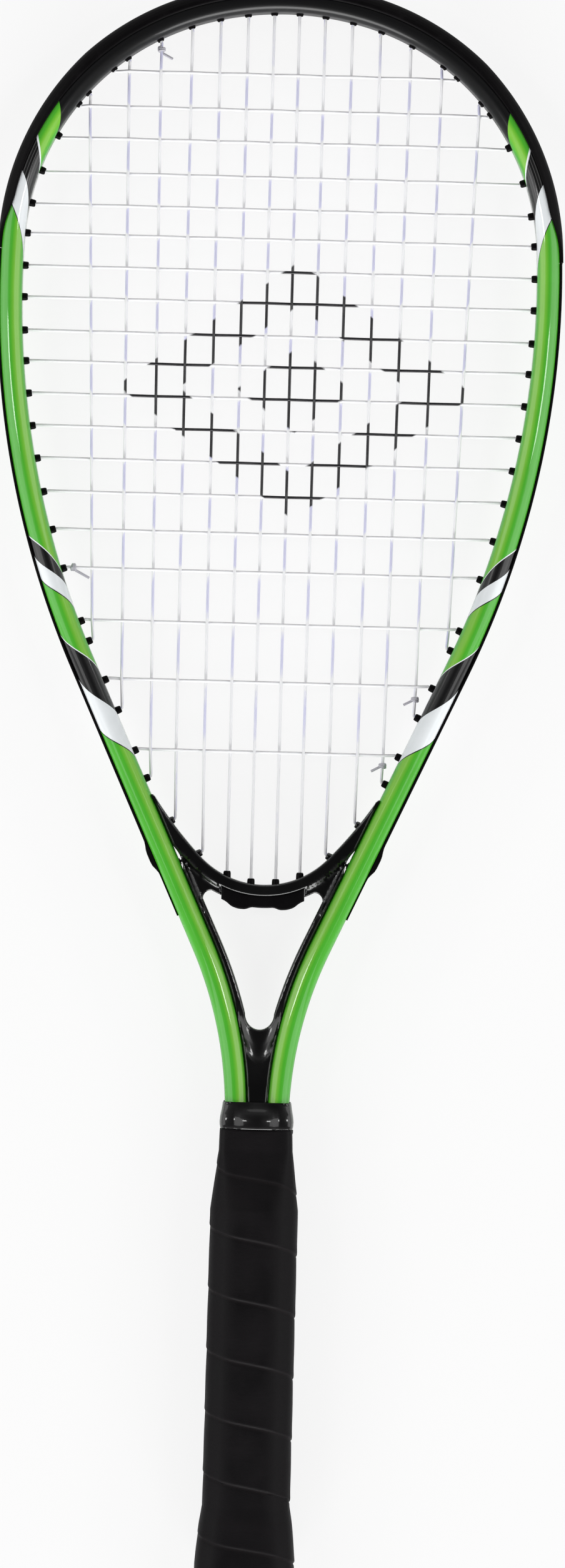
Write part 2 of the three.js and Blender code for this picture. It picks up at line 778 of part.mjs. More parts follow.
function makeThroatPiece() {
  const shape = new THREE.Shape(throatOutline());
  shape.holes.push(new THREE.Path(throatOpening()));
  const options = { depth: throatPieceDepth, bevelEnabled: false, steps: 1 };
  const body = new THREE.ExtrudeGeometry(shape, options);
  body.translate(0, 0, -throatPieceDepth / 2);
  const slantBores = slantPorts.map((port) => {
    return portPrism(port, tubeHalf, port.tip - cutOverrun, boreRadius);
  });
  const barrelHoles = bridgePorts.map((port) => bridgePrism(port, cutOverrun, barrelRadius + touchGap));
  const sideBarrelHoles = railPorts.filter((port) => port.kind === 'rail').map((port) => {
    return portPrism(port, -tubeHalf, port.tip - touchGap, barrelRadius + touchGap);
  });
  const cut = carve(body, [], sideBarrelHoles);
  return carve(cut, slantPorts.map(slantNub), [...slantBores, ...barrelHoles]);
}

// Bridge grommet strip

const stripSeatRadius = bridgeThickness + touchGap;
const bridgeStripHalfWidth = archHalfWidth - bridgeStripInset;
const bridgeFloorRadius = stripSeatRadius + bridgeStripFloor;
const bridgeLaneRadius = bridgeFloorRadius + touchGap + stringRadius;
const underStripRadius = stripSeatRadius + bridgeStripThickness + bridgeSwell + cutOverrun;

// A prism along a bridge port, from below the strip to past the tip by the overrun
function bridgePrism(port, overrun, radius) {
  const foot = new THREE.Vector3(port.x, bridgeUnderHeight(port.x, underStripRadius), 0);
  const tip = port.tip.clone().setY(port.tip.y + overrun);
  return prism(foot, tip, radius, barrelSides);
}

function bridgeUnderHeight(x, inward) {
  return bridgeCentreHeight - Math.sqrt((bridgeRadius + inward) ** 2 - x ** 2);
}

// A line under the bridge, at a distance from its string edge and as wide as the strip
function bridgeStripLine(distanceAt) {
  return swellTurnShares.map((turnShare, i) => {
    const distance = distanceAt(i);
    const halfTurn = Math.asin(bridgeStripHalfWidth / (bridgeRadius + distance));
    return bridgePoint(turnShare * halfTurn, distance);
  });
}

function makeBridgeStrip() {
  const foot = stripSeatRadius + bridgeStripThickness;
  const lower = bridgeStripLine((i) => foot + swellHeightShares[i] * bridgeSwell);
  const upper = bridgeStripLine(() => stripSeatRadius).reverse();
  const mirror = (points) => points.map((point) => new THREE.Vector2(-point.x, point.y)).reverse();
  const outline = [...mirror(lower.slice(1)), ...lower, ...upper.slice(0, -1), ...mirror(upper)];
  const body = new THREE.ExtrudeGeometry(new THREE.Shape(outline), {
    depth: bridgeStripDepth, bevelEnabled: false, steps: 1,
  });
  body.translate(0, 0, -bridgeStripDepth / 2);
  const root = stripSeatRadius + bridgeStripFloor / 2;
  const barrels = bridgePorts.map((port) => {
    const foot = new THREE.Vector3(port.x, bridgeUnderHeight(port.x, root), 0);
    return prism(foot, port.tip, barrelRadius, barrelSides);
  });
  const bores = bridgePorts.map((port) => bridgePrism(port, cutOverrun, boreRadius));
  const slots = [-1, 1].map(bridgeSlot);
  return carve(body, barrels, [...bores, ...slots]);
}

// The slot under one pair of bridge ports that holds their loop, open below
function bridgeSlot(order) {
  const xs = bridgePorts.map((port) => port.x).filter((x) => x * order > 0);
  const slack = stringRadius + touchGap;
  const from = Math.min(...xs) - slack;
  const to = Math.max(...xs) + slack;
  const top = evenShares(bridgeSlotSteps).map((share) => {
    const x = THREE.MathUtils.lerp(from, to, share);
    return new THREE.Vector2(x, bridgeUnderHeight(x, bridgeFloorRadius));
  });
  const deep = bridgeUnderHeight(0, underStripRadius);
  const shape = new THREE.Shape([...top, new THREE.Vector2(to, deep), new THREE.Vector2(from, deep)]);
  const slot = new THREE.ExtrudeGeometry(shape, { depth: 2 * slack, bevelEnabled: false, steps: 1 });
  return slot.translate(0, 0, -slack);
}

// Strings

// The string's way through a port, from inside the head to the channel
function portWay(port, height) {
  if (port.kind === 'bridge') {
    const lane = bridgeUnderHeight(port.x, bridgeLaneRadius);
    return [port.tip.clone().setY(port.tip.y + tipBendLead), new THREE.Vector3(port.x, lane, 0)];
  }
  return [
    railPoint(port.at, port.tip - tipBendLead, height),
    railPoint(port.at, laneLevel, height),
  ];
}

// The run along the channel between two rail ports, in one lane. A string that changes height
// does so in a short stretch beside its port.
function railLoop(from, to, lane) {
  const reach = to.at - from.at;
  const shift = Math.sign(reach) * Math.min(laneShiftLength, Math.abs(reach) * laneShiftShare);
  const [start, end] = [from.at + shift, to.at - shift];
  const middle = Math.abs((start + end) / 2);
  const piece = rail.findLast((entry) => entry.start <= middle);
  const radius = piece.curvature === 0 ? Infinity : 1 / Math.abs(piece.curvature) + laneLevel;
  const chord = Math.sqrt(8 * loopSag * radius);
  const count = Math.max(1, Math.ceil(Math.abs(end - start) / chord));
  return evenShares(count).map((share) => railPoint(THREE.MathUtils.lerp(start, end, share), laneLevel, lane));
}

// The last run of a tied end: it leaves its lane early, at the height of its place in the port
function tieLoop(from, to, lane) {
  const run = railLoop(from, to, lane);
  const shift = Math.sign(to.at - from.at) * laneShiftLength;
  const turnOff = railPoint(to.at - shift - Math.sign(shift) * tieShiftLength, laneLevel, lane);
  return [...run.slice(0, -1), turnOff, railPoint(to.at - shift, laneLevel, to.guest)];
}

function bridgeLoop(from, to) {
  const middle = (from.x + to.x) / 2;
  return [new THREE.Vector3(middle, bridgeUnderHeight(middle, bridgeLaneRadius), 0)];
}

function weaveSign(main, row) {
  return (main + row) % 2 === 0 ? 1 : -1;
}

function mainFootHeight(main) {
  const port = mainFeet[main];
  return port.kind === 'bridge' ? port.tip.y : railPoint(port.at, port.tip).y;
}

function rowCrosses(main, row) {
  const x = Math.abs(mainX(main, rowHeights[row]));
  const tip = Math.abs(tipPoint(rowEnds[row][1].at).x);
  const [low, high] = [mainFootHeight(main), tipPoint(mainTops[main].at).y];
  return x < tip && rowHeights[row] > low && rowHeights[row] < high;
}

function mainOver(main, row) {
  return new THREE.Vector3(mainX(main, rowHeights[row]), rowHeights[row], weaveHeight * weaveSign(main, row));
}

function rowOver(main, row) {
  return mainOver(main, row).multiply(new THREE.Vector3(1, 1, -1));
}

// The crossings on one main string, from the top row down
function crossings(main) {
  return rows.filter((row) => rowCrosses(main, row)).map((row) => mainOver(main, row));
}

// One unbroken main string: up the first main, along the channel, down the second and so on
function mainPath() {
  const path = [];
  path.push(...portWay(firstMainTie, firstMainTie.guest));
  path.push(...tieLoop(mainFeet[firstMain], firstMainTie, -laneOffset).reverse());
  for (const main of mains) {
    const rising = main % 2 === 0;
    const [from, to] = rising ? [mainFeet[main], mainTops[main]] : [mainTops[main], mainFeet[main]];
    const bed = rising ? crossings(main).reverse() : crossings(main);
    path.push(...portWay(from, from.own ?? 0).reverse(), ...bed, ...portWay(to, to.own ?? 0));
    if (main === lastMain) break;
    const next = rising ? mainTops[main + 1] : mainFeet[main + 1];
    const link = to.kind === 'bridge' ? bridgeLoop(to, next) : railLoop(to, next, -laneOffset);
    path.push(...link);
  }
  const end = portWay(lastMainTie, lastMainTie.guest).reverse();
  path.push(...tieLoop(mainFeet[lastMain], lastMainTie, -laneOffset), ...end);
  return path;
}

// One unbroken cross string, from the top row to the bottom row
function crossPath() {
  const path = [];
  path.push(...portWay(firstRowTie, firstRowTie.guest));
  path.push(...tieLoop(rowEnds[0][0], firstRowTie, laneOffset).reverse());
  for (const row of rows) {
    const rightward = row % 2 === 0;
    const [from, to] = rightward ? rowEnds[row] : [...rowEnds[row]].reverse();
    const hits = mains.filter((main) => rowCrosses(main, row)).map((main) => rowOver(main, row));
    const bed = rightward ? hits : hits.reverse();
    path.push(...portWay(from, from.own ?? 0).reverse(), ...bed, ...portWay(to, to.own ?? 0));
    if (row === lastRow) break;
    path.push(...railLoop(to, rowEnds[row + 1][rightward ? 1 : 0], laneOffset));
  }
  path.push(...tieLoop(rowEnds[lastRow][1], lastRowTie, laneOffset));
  path.push(...portWay(lastRowTie, lastRowTie.guest).reverse());
  return path;
}

// Knots: a bead of two turns round the neighbour's string, with the tied end's short tail

// The seat is as far up the string as keeps a bead that leans to its barrel clear of it
function knotSeat(port, toward) {
  const start = railPoint(port.at, port.tip - tipBendLead, port.own);
  const along = toward.clone().sub(start).normalize();
  const slant = along.angleTo(railOutward(port.at).negate());
  const standoff = (knotStandoff + (knotDiameter / 2) * Math.sin(slant)) / Math.cos(slant);
  return { along, centre: start.addScaledVector(along, standoff + knotLength / 2) };
}

function makeKnot(port, toward, tailSide) {
  const { centre, along } = knotSeat(port, toward);
  const half = knotLength / 2;
  const lobe = half * knotLobeShare;
  const radius = knotDiameter / 2;
  const bore = stringRadius + touchGap;
  const profile = [
    [bore, -half], [radius, -half], [radius, -lobe], [radius * knotWaistShare, 0],
    [radius, lobe], [radius, half], [bore, half], [bore, -half],
  ];
  const bead = new THREE.LatheGeometry(profile.map(([r, y]) => new THREE.Vector2(r, y)), knotSides);
  const turn = new THREE.Quaternion().setFromUnitVectors(new THREE.Vector3(0, 1, 0), along);
  bead.applyQuaternion(turn).translate(...centre.toArray());
  const out = new THREE.Vector3(tailSide * Math.cos(tailTilt), -Math.sin(tailTilt), 0);
  const lift = (radius + bore) / 2;
  const root = centre.clone().setZ(centre.z + lift);
  const tail = sweepTube([root, root.clone().addScaledVector(out, tailLength)], stringRadius, stringSides);
  return carve(bead, [tail], []);
}

// Least distance between the surfaces of two strings, or of one string and itself, on points
function leastGap(first, second) {
  const one = samplePath(first);
  const two = first === second ? one : samplePath(second);
  let least = Infinity;
  for (const a of one) {
    for (const b of two) {
      if (first === second && Math.abs(a.run - b.run) < ownRunApart) continue;
      const reach = Math.abs(a.point.x - b.point.x);
      if (reach < least) least = Math.min(least, a.point.distanceTo(b.point));
    }
  }
  return least - stringDiameter;
}

function samplePath(path) {
  const samples = [];
  let run = 0;
  for (let i = 0; i + 1 < path.length; i += 1) {
    const length = path[i].distanceTo(path[i + 1]);
    const count = Math.ceil(length / sampleStep);
    for (let k = 0; k < count; k += 1) {
      samples.push({ point: path[i].clone().lerp(path[i + 1], k / count), run: run + (length * k) / count });
    }
    run += length;
  }
  return samples;
}

// Handle

function octagon(halfX, halfZ, bevelX, bevelZ) {
  const [flatX, flatZ] = [halfX - bevelX, halfZ - bevelZ];
  return [
    [halfX, -flatZ], [halfX, flatZ], [flatX, halfZ], [-flatX, halfZ],
    [-halfX, flatZ], [-halfX, -flatZ], [-flatX, -halfZ], [flatX, -halfZ],
  ];
}

function heightRing(outline, height) {
  return outline.map(([x, z]) => new THREE.Vector3(x, height, z));
}

const handleHalfX = shankSpacing / 2 + tubeHalf + touchGap + handleSideWall;
const handleHalfZ = tubeDepth / 2 + touchGap + handleFaceWall;

// The bare shanks' own outline, as wide as they stand at the collar's top. Its bevel clears
// the tube's rounded edge.
const shankHalfX = railPoint(collarEnd, tubeHalf).x;
const shankHalfZ = tubeDepth / 2;
const topBevel = tubeWidth * (1 - Math.SQRT1_2);

// The handle's outline at a height, grown outwards. It narrows above its shoulder toward an
// outline that just holds the bare shanks.
function handleOutline(height, grow) {
  const rise = (height - handleShoulderHeight) / (gripShoulderHeight - handleShoulderHeight);
  const narrow = (wide, thin) => THREE.MathUtils.lerp(wide, thin, THREE.MathUtils.clamp(rise, 0, 1));
  return octagon(
    narrow(handleHalfX, shankHalfX) + grow,
    narrow(handleHalfZ, shankHalfZ) + grow,
    narrow(handleBevelX, topBevel),
    narrow(handleBevelZ, topBevel),
  );
}

// One half of the handle, with a channel for each shank, on the side of Z given by the sign
function handleHalfOutline(height, grow, sign) {
  const parting = touchGap / 2;
  const [, rightTop, topRight, topLeft, leftTop] = handleOutline(height, grow);
  const outer = [[rightTop[0], parting], rightTop, topRight, topLeft, leftTop, [leftTop[0], parting]];
  const radius = tubeHalf + touchGap;
  const turns = evenShares(roundSteps).map((turnShare) => turnShare * Math.PI);
  const channel = (centre) => [
    [centre - radius, parting],
    ...turns.map((turn) => [centre - radius * Math.cos(turn), flatHalf + radius * Math.sin(turn)]),
    [centre + radius, parting],
  ];
  const shank = shankSpacing / 2;
  return [...outer, ...channel(-shank), ...channel(shank)].map(([x, z]) => [x, sign * z]);
}

function makeHandleHalf(sign) {
  const seatTop = capHeight + touchGap;
  const stages = [
    [handleFootHeight, -capSeatInset],
    [seatTop, -capSeatInset],
    [seatTop + capSeatChamfer, 0],
    [handleShoulderHeight, 0],
    [handleTopHeight, 0],
  ];
  const rings = stages.map(([height, grow]) => heightRing(handleHalfOutline(height, grow, sign), height));
  return carve(loft(rings), [], [staple(sign, staplePlay)]);
}

const capInside = touchGap - capSeatInset;
const capMouth = capInside + capMouthWall;
const capFlare = capInside + capFlareWall;
const capWaistHeight = (capFlareHeight + capHeight) / 2;

// How far the cap's outside stands out from the handle's outline
function capGrow(height) {
  const share = (height - capFlareHeight) / (capHeight - capFlareHeight);
  const fall = THREE.MathUtils.clamp(share, 0, 1) ** capFlareBend;
  return THREE.MathUtils.lerp(capFlare, capMouth, fall);
}

function makeButtCap() {
  const edge = evenShares(capEdgeSteps).map((turnShare) => {
    const turn = (turnShare * Math.PI) / 2;
    return [capEdgeRound * (1 - Math.cos(turn)), capFlare - capEdgeRound * (1 - Math.sin(turn))];
  });
  const flank = [capFlareHeight, capWaistHeight, capHeight].map((height) => [height, capGrow(height)]);
  const outline = (height, grow) => heightRing(handleOutline(height, grow), height);
  const outside = loft([...edge, ...flank].map(([height, grow]) => outline(height, grow)));
  const hollow = loft([capFloor, capHeight + cutOverrun].map((height) => outline(height, capInside)));
  return carve(outside, [], [hollow, staple(1, staplePlay), staple(-1, staplePlay)]);
}

// A wire staple whose crown lies along X in the cap's front or back face. play grows it all
// round, which makes the slot it sits in.
function staple(sign, play) {
  const half = stapleCrown / 2 + play;
  const wire = stapleWire + 2 * play;
  const face = handleHalfZ + capGrow(stapleHeight);
  const top = face + (play > 0 ? cutOverrun : 0);
  const foot = face - stapleLeg - play;
  const under = face - stapleWire - play;
  const outline = [
    [-half, foot], [-half + wire, foot], [-half + wire, under], [half - wire, under],
    [half - wire, foot], [half, foot], [half, top], [-half, top],
  ].map(([x, z]) => new THREE.Vector2(x, z));
  const body = new THREE.ExtrudeGeometry(new THREE.Shape(outline), { depth: wire, bevelEnabled: false, steps: 1 });
  body.translate(0, 0, -wire / 2);
  body.rotateX(Math.PI / 2).translate(0, stapleHeight, 0);
  if (sign < 0) body.rotateY(Math.PI);
  return body;
}

// Grip

// Inside of the grip at a height: over the flared cap, the handle, then the bare shanks
function gripInside(height) {
  const past = THREE.MathUtils.clamp((height - capHeight) / gripStepLength, 0, 1);
  const over = height <= capHeight ? capGrow(height) : THREE.MathUtils.lerp(capMouth, 0, past);
  return handleOutline(height, over + touchGap);
}

function gripWall(height) {
  const share = (height - handleShoulderHeight) / (gripTopHeight - handleShoulderHeight);
  return THREE.MathUtils.lerp(gripThickness, gripTopThickness, THREE.MathUtils.clamp(share, 0, 1));
}

// Moves each side of an outline out by a distance: round its own corner in X and Z
function grown(outline, distance) {
  return outline.map(([x, z]) => {
    return [x + distance * Math.sign(x), z + distance * Math.sign(z)];
  });
}

function gripOutside(height, inset = 0) {
  return grown(gripInside(height), gripWall(height) - inset);
}

const gripHeights = [
  capFlareHeight, capWaistHeight, capHeight, capHeight + gripStepLength,
  handleShoulderHeight, gripShoulderHeight,
];

function seamPath() {
  const path = [];
  const corners = gripOutside(seamStartHeight).length;
  const turns = (gripTopHeight - seamEndClearance - seamStartHeight) / seamPitch;
  const steps = Math.floor(turns * corners);
  for (let i = 0; i <= steps; i += 1) {
    const height = seamStartHeight + (seamPitch * i) / corners;
    const [x, z] = gripOutside(height)[i % corners];
    path.push(new THREE.Vector3(x, height, z));
  }
  return path;
}

function makeGripWrap() {
  const rounding = gripThickness / 2;
  const outer = [
    heightRing(gripOutside(gripFootHeight, rounding), gripFootHeight),
    heightRing(gripOutside(gripFootHeight + rounding), gripFootHeight + rounding),
    ...gripHeights.map((height) => heightRing(gripOutside(height), height)),
    heightRing(gripOutside(gripTopHeight), gripTopHeight),
  ];
  const inner = [gripFootHeight - cutOverrun, ...gripHeights, gripTopHeight + cutOverrun];
  const hollow = loft(inner.map((height) => heightRing(gripInside(height), height)));
  return carve(loft(outer), [], [hollow, seamGroove()]);
}

// The spiral seam: a shallow V cut that follows the octagon round and up the grip
function seamGroove() {
  const path = seamPath();
  const rings = path.map((point) => {
    const outward = new THREE.Vector3(point.x, 0, point.z).normalize();
    const low = point.clone().addScaledVector(outward, -seamDepth);
    const high = point.clone().addScaledVector(outward, cutOverrun);
    const up = new THREE.Vector3(0, seamWidth / 2, 0);
    return [low, high.clone().add(up), high.clone().sub(up)];
  });
  return loft(rings);
}

// Collar

function makeCollar() {
  const foot = gripTopHeight + touchGap;
  const inner = handleOutline(foot, touchGap);
  const stages = [
    [foot, collarWall],
    [collarTopHeight - collarShoulder, collarWall],
    [collarTopHeight - collarLipLength, (collarWall + collarLipWall) / 2],
    [collarTopHeight, collarLipWall],
  ];
  const outside = loft(stages.map(([height, wall]) => heightRing(grown(inner, wall), height)));
  const ends = [foot - cutOverrun, collarTopHeight + cutOverrun];
  return carve(outside, [], [loft(ends.map((height) => heightRing(inner, height)))]);
}

// Finishes

const finish = (color, roughness, metalness) => ({ color, roughness, metalness });
const greenPaint = finish(0x48be32, 0.25, 0.1);
const blackPlastic = finish(0x151417, 0.45, 0);
const glossBlack = finish(0x0c0b0d, 0.15, 0);
const stringWhite = finish(0xf0eef6, 0.35, 0);
const knotGrey = finish(0xb9b7bd, 0.5, 0);
const handleFoam = finish(0x2b2a2c, 0.8, 0);
const gripBlack = finish(0x17161a, 0.75, 0);
const rubberBlack = finish(0x121114, 0.3, 0);
const steel = finish(0x9a9a9c, 0.35, 1);

const racket = new THREE.Group();

function addPiece(name, geometry, look) {
  const mesh = new THREE.Mesh(geometry, new THREE.MeshStandardMaterial(look));
  mesh.name = name;
  racket.add(mesh);
}

const mainRoute = mainPath();
const crossRoute = crossPath();
const gaps = {
  'main to cross': leastGap(mainRoute, crossRoute),
  'main to itself': leastGap(mainRoute, mainRoute),
  'cross to itself': leastGap(crossRoute, crossRoute),
};
for (const [pair, gap] of Object.entries(gaps)) console.log(`least gap, ${pair}: ${gap.toFixed(2)} mm`);

addPiece('frame_tube', makeFrameTube(), greenPaint);
addPiece('throat_piece', makeThroatPiece(), glossBlack);
addPiece('head_bumper', makeHeadBumper(), blackPlastic);
addPiece('side_strip_left', makeSideStrip(-1), blackPlastic);
addPiece('side_strip_right', makeSideStrip(1), blackPlastic);
addPiece('bridge_strip', makeBridgeStrip(), blackPlastic);
addPiece('main_string', sweepTube(mainRoute, stringRadius, stringSides), stringWhite);
addPiece('cross_string', sweepTube(crossRoute, stringRadius, stringSides), stringWhite);
addPiece('knot_main_left', makeKnot(firstMainTie, rowOver(firstMain, mainTieRow), 1), knotGrey);
addPiece('knot_main_right', makeKnot(lastMainTie, crossings(lastMain - 1).at(-1), -1), knotGrey);
addPiece('knot_cross_top', makeKnot(firstRowTie, crossings(rowTieMain)[0], 1), knotGrey);
addPiece('knot_cross_bottom', makeKnot(lastRowTie, crossings(lastMain - 2).at(-1), -1), knotGrey);
addPiece('handle_half_front', makeHandleHalf(1), handleFoam);
addPiece('handle_half_back', makeHandleHalf(-1), handleFoam);
addPiece('butt_cap', makeButtCap(), blackPlastic);
addPiece('butt_staple_front', staple(1, 0), steel);
addPiece('butt_staple_back', staple(-1, 0), steel);
addPiece('grip_wrap', makeGripWrap(), gripBlack);
addPiece('grip_collar', makeCollar(), rubberBlack);

export default racket;
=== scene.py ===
# The looks of a crossminton racket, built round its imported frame. Lengths are in metres.
# The racket lies flat: +Y runs from the butt to the head tip, +X across the head, +Z out of
# the front face.

import math

import bmesh
import bpy
import numpy as np
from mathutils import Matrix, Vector


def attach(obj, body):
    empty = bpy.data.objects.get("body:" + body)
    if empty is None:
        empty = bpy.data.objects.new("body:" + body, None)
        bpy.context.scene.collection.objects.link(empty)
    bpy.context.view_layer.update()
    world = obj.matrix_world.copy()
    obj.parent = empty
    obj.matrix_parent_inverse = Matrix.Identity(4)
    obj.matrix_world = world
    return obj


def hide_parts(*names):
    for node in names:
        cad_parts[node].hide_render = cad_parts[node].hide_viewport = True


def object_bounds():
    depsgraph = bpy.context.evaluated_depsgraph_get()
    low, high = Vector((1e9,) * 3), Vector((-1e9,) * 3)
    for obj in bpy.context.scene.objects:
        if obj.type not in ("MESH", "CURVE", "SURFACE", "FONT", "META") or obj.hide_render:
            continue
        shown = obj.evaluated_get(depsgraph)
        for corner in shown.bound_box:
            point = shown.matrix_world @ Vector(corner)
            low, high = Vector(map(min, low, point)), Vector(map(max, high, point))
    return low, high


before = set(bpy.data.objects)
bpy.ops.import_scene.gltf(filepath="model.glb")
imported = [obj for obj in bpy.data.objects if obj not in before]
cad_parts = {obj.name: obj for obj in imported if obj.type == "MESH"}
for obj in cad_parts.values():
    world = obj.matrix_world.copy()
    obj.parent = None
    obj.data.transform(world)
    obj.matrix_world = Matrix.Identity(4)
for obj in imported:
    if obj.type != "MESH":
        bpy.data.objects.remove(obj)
cad_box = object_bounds()

MM = 0.001

# Driving sizes, the same as the solids have: the tube first
TOUCH_GAP = 0.3 * MM
TUBE_WIDTH = 8.4 * MM
GROOVE_DEPTH = 1.8 * MM
GROOVE_SHOULDER = 0.3 * MM
GROOVE_FADE = 8 * MM
CROWN_RADIUS = 114 * MM
CROWN_TURN = math.radians(16.8)
CORNER_RADIUS = 94.5 * MM
CORNER_TURN = math.radians(70.4)
SIDE_RADIUS = 341 * MM
TAPER_LEAN = math.radians(24.5)
THROAT_RADIUS = 155.6 * MM
SHANK_SPACING = 15.6 * MM
SHANK_END_HEIGHT = 14 * MM
SHANK_TOP_DROP = 6.455 * MM

# Strings. Shares place them across the head's half width, rows up the length of the string bed.
STRING_DIAMETER = 1.1 * MM
LANE_SPACING = 3.1 * MM
PAIR_SPACING = 1.6 * MM
TIP_BEND_LEAD = 0.4 * MM
LANE_SHIFT = 2 * MM
LANE_SHIFT_SHARE = 1 / 3
TIE_SHIFT = 3 * MM
MAIN_TOP_SHARES = [0.049, 0.15, 0.257, 0.367, 0.488, 0.612, 0.769]
MAIN_BOTTOM_SHARES = [0.048, 0.1415, 0.242, 0.351, 0.447, 0.561, 0.662]
CROSS_ROW_SHARES = [
    0.929, 0.888, 0.851, 0.811, 0.774, 0.74, 0.703, 0.667, 0.629, 0.594,
    0.557, 0.52, 0.483, 0.445, 0.402, 0.358, 0.2985, 0.232, 0.152,
]

# Bumper and grommet strips
BORE_DIAMETER = 2 * MM
BARREL_WALL = 0.4 * MM
BARREL_REACH = 2 * MM
CROWN_BARREL_REACH = 0.9 * MM
CROWN_REACH_SHARES = (0.56, 0.74)
STRIP_FLOOR = 0.8 * MM
STRIP_SIDE_WALL = 0.3 * MM
BUMPER_PROUD = 2.7 * MM
BUMPER_END_PROUD = 1.4 * MM
SIDE_PROUD = 1 * MM
LOWER_PROUD = 0.5 * MM
SWELL_PROUD = 1.9 * MM
BUMPER_FADE_SHARE = 0.5
BUMPER_DROP = 95.3 * MM
SWELL_TOP_RISE = 13 * MM
SWELL_FOOT_RISE = 9.5 * MM
SWELL_RAMP = 5 * MM
STRIP_END_DROP = 10.5 * MM
LIP_WALL = 0.55 * MM
LIP_TURN = math.radians(70)
LIP_END_TURN = math.radians(14)
LIP_FADE = 20 * MM
LIP_EDGE = 0.05 * MM
LIP_RIM = 0.25 * MM
LIP_CORNER = 0.5 * MM
LIP_CORNER_STEPS = 3

# Bridge, throat and bridge strip
BRIDGE_RISE = 87.66 * MM
BRIDGE_RADIUS = 33 * MM
BRIDGE_TURN = math.radians(46)
HORN_RADIUS = 154.6 * MM
HORN_TURN = math.radians(56)
BRIDGE_THICKNESS = 4.2 * MM
BRIDGE_TIP_THICKNESS = 0.4 * MM
THROAT_DEPTH = 12 * MM
ARM_THICKNESS = 2.2 * MM
ARM_FOOT_THICKNESS = 2.8 * MM
SLIT_TOP_RISE = 13.8 * MM
SLIT_FOOT_RISE = 5 * MM
SLIT_WIDTH = 1.2 * MM
SLIT_SHOWN_SHARE = 0.75
ARCH_HALF_WIDTH = 15.6 * MM
WEB_THICKNESS = 7.3 * MM
WEB_CORNER_RADIUS = 3.2 * MM
CROTCH_RISE = 33.36 * MM
CROTCH_DEPTH = 6 * MM
YOKE_CLEARANCE = 1.5 * MM
BRIDGE_STRIP_THICKNESS = 4.1 * MM
BRIDGE_STRIP_DEPTH = 8.8 * MM
BRIDGE_STRIP_FLOOR = 0.8 * MM
BRIDGE_STRIP_BEVEL = 0.7 * MM
BRIDGE_SWELL = 1.5 * MM
SWELL_TURN_SHARES = [0, 0.27, 0.4, 0.58, 0.75, 0.87, 1]
SWELL_HEIGHT_SHARES = [0, 0, 0.75, 1, 0.85, 0.15, 0]

# Handle, grip, cap and collar
GRIP_TOP_HEIGHT = 171.3 * MM
GRIP_FOOT_HEIGHT = 1.6 * MM
GRIP_SHOULDER_DROP = 8.3 * MM
HANDLE_SHOULDER_DROP = 30.3 * MM
HANDLE_TOP_DROP = 19.3 * MM
HANDLE_SIDE_WALL = 2 * MM
HANDLE_FACE_WALL = 3.9 * MM
HANDLE_BEVEL_X = 8.3 * MM
HANDLE_BEVEL_Z = 5.7 * MM
GRIP_THICKNESS = 1.9 * MM
GRIP_TOP_THICKNESS = 1.3 * MM
GRIP_STEP_LENGTH = 6 * MM
CAP_HEIGHT = 24 * MM
CAP_FLOOR = 3 * MM
CAP_SEAT_INSET = 0.7 * MM
CAP_MOUTH_WALL = 1.3 * MM
CAP_FLARE_WALL = 2.7 * MM
CAP_FLARE_HEIGHT = 8 * MM
CAP_FLARE_BEND = 1.3
CAP_EDGE_ROUND = 2.4 * MM
SEAM_PITCH = 23 * MM
SEAM_START = 7.2 * MM
COLLAR_LENGTH = 9.7 * MM
COLLAR_WALL = 1.15 * MM

# Sizes that follow from them
TUBE_HALF = TUBE_WIDTH / 2
STRING_RADIUS = STRING_DIAMETER / 2
BORE_RADIUS = BORE_DIAMETER / 2
BARREL_RADIUS = BORE_RADIUS + BARREL_WALL
LANE_OFFSET = LANE_SPACING / 2
PAIR_OFFSET = PAIR_SPACING / 2
STRIP_FOOT_LEVEL = TUBE_HALF - GROOVE_DEPTH + TOUCH_GAP
STRIP_FLOOR_LEVEL = STRIP_FOOT_LEVEL + STRIP_FLOOR
LANE_LEVEL = STRIP_FLOOR_LEVEL + TOUCH_GAP + STRING_RADIUS
CHANNEL_HALF = LANE_OFFSET + STRING_RADIUS + TOUCH_GAP
GROOVE_HALF = CHANNEL_HALF + STRIP_SIDE_WALL + TOUCH_GAP
FLAT_HALF = GROOVE_HALF + GROOVE_SHOULDER
TUBE_DEPTH = TUBE_WIDTH + 2 * FLAT_HALF
FACE_LEVEL = TUBE_HALF + TOUCH_GAP
COLLAR_FOOT = GRIP_TOP_HEIGHT + TOUCH_GAP
COLLAR_TOP = COLLAR_FOOT + COLLAR_LENGTH
SHANK_TOP = COLLAR_TOP - SHANK_TOP_DROP
HANDLE_TOP = GRIP_TOP_HEIGHT - HANDLE_TOP_DROP
HANDLE_SHOULDER = GRIP_TOP_HEIGHT - HANDLE_SHOULDER_DROP
GRIP_SHOULDER = GRIP_TOP_HEIGHT - GRIP_SHOULDER_DROP
CROTCH_HEIGHT = SHANK_TOP + CROTCH_RISE
BRIDGE_CREST = SHANK_TOP + BRIDGE_RISE
STRIP_SEAT = BRIDGE_THICKNESS + TOUCH_GAP
BRIDGE_STRIP_HALF_WIDTH = ARCH_HALF_WIDTH - TOUCH_GAP / 4
BRIDGE_LANE = STRIP_SEAT + BRIDGE_STRIP_FLOOR + TOUCH_GAP + STRING_RADIUS


# Rail: the centre line of half the tube as arcs, measured by distance from the crown

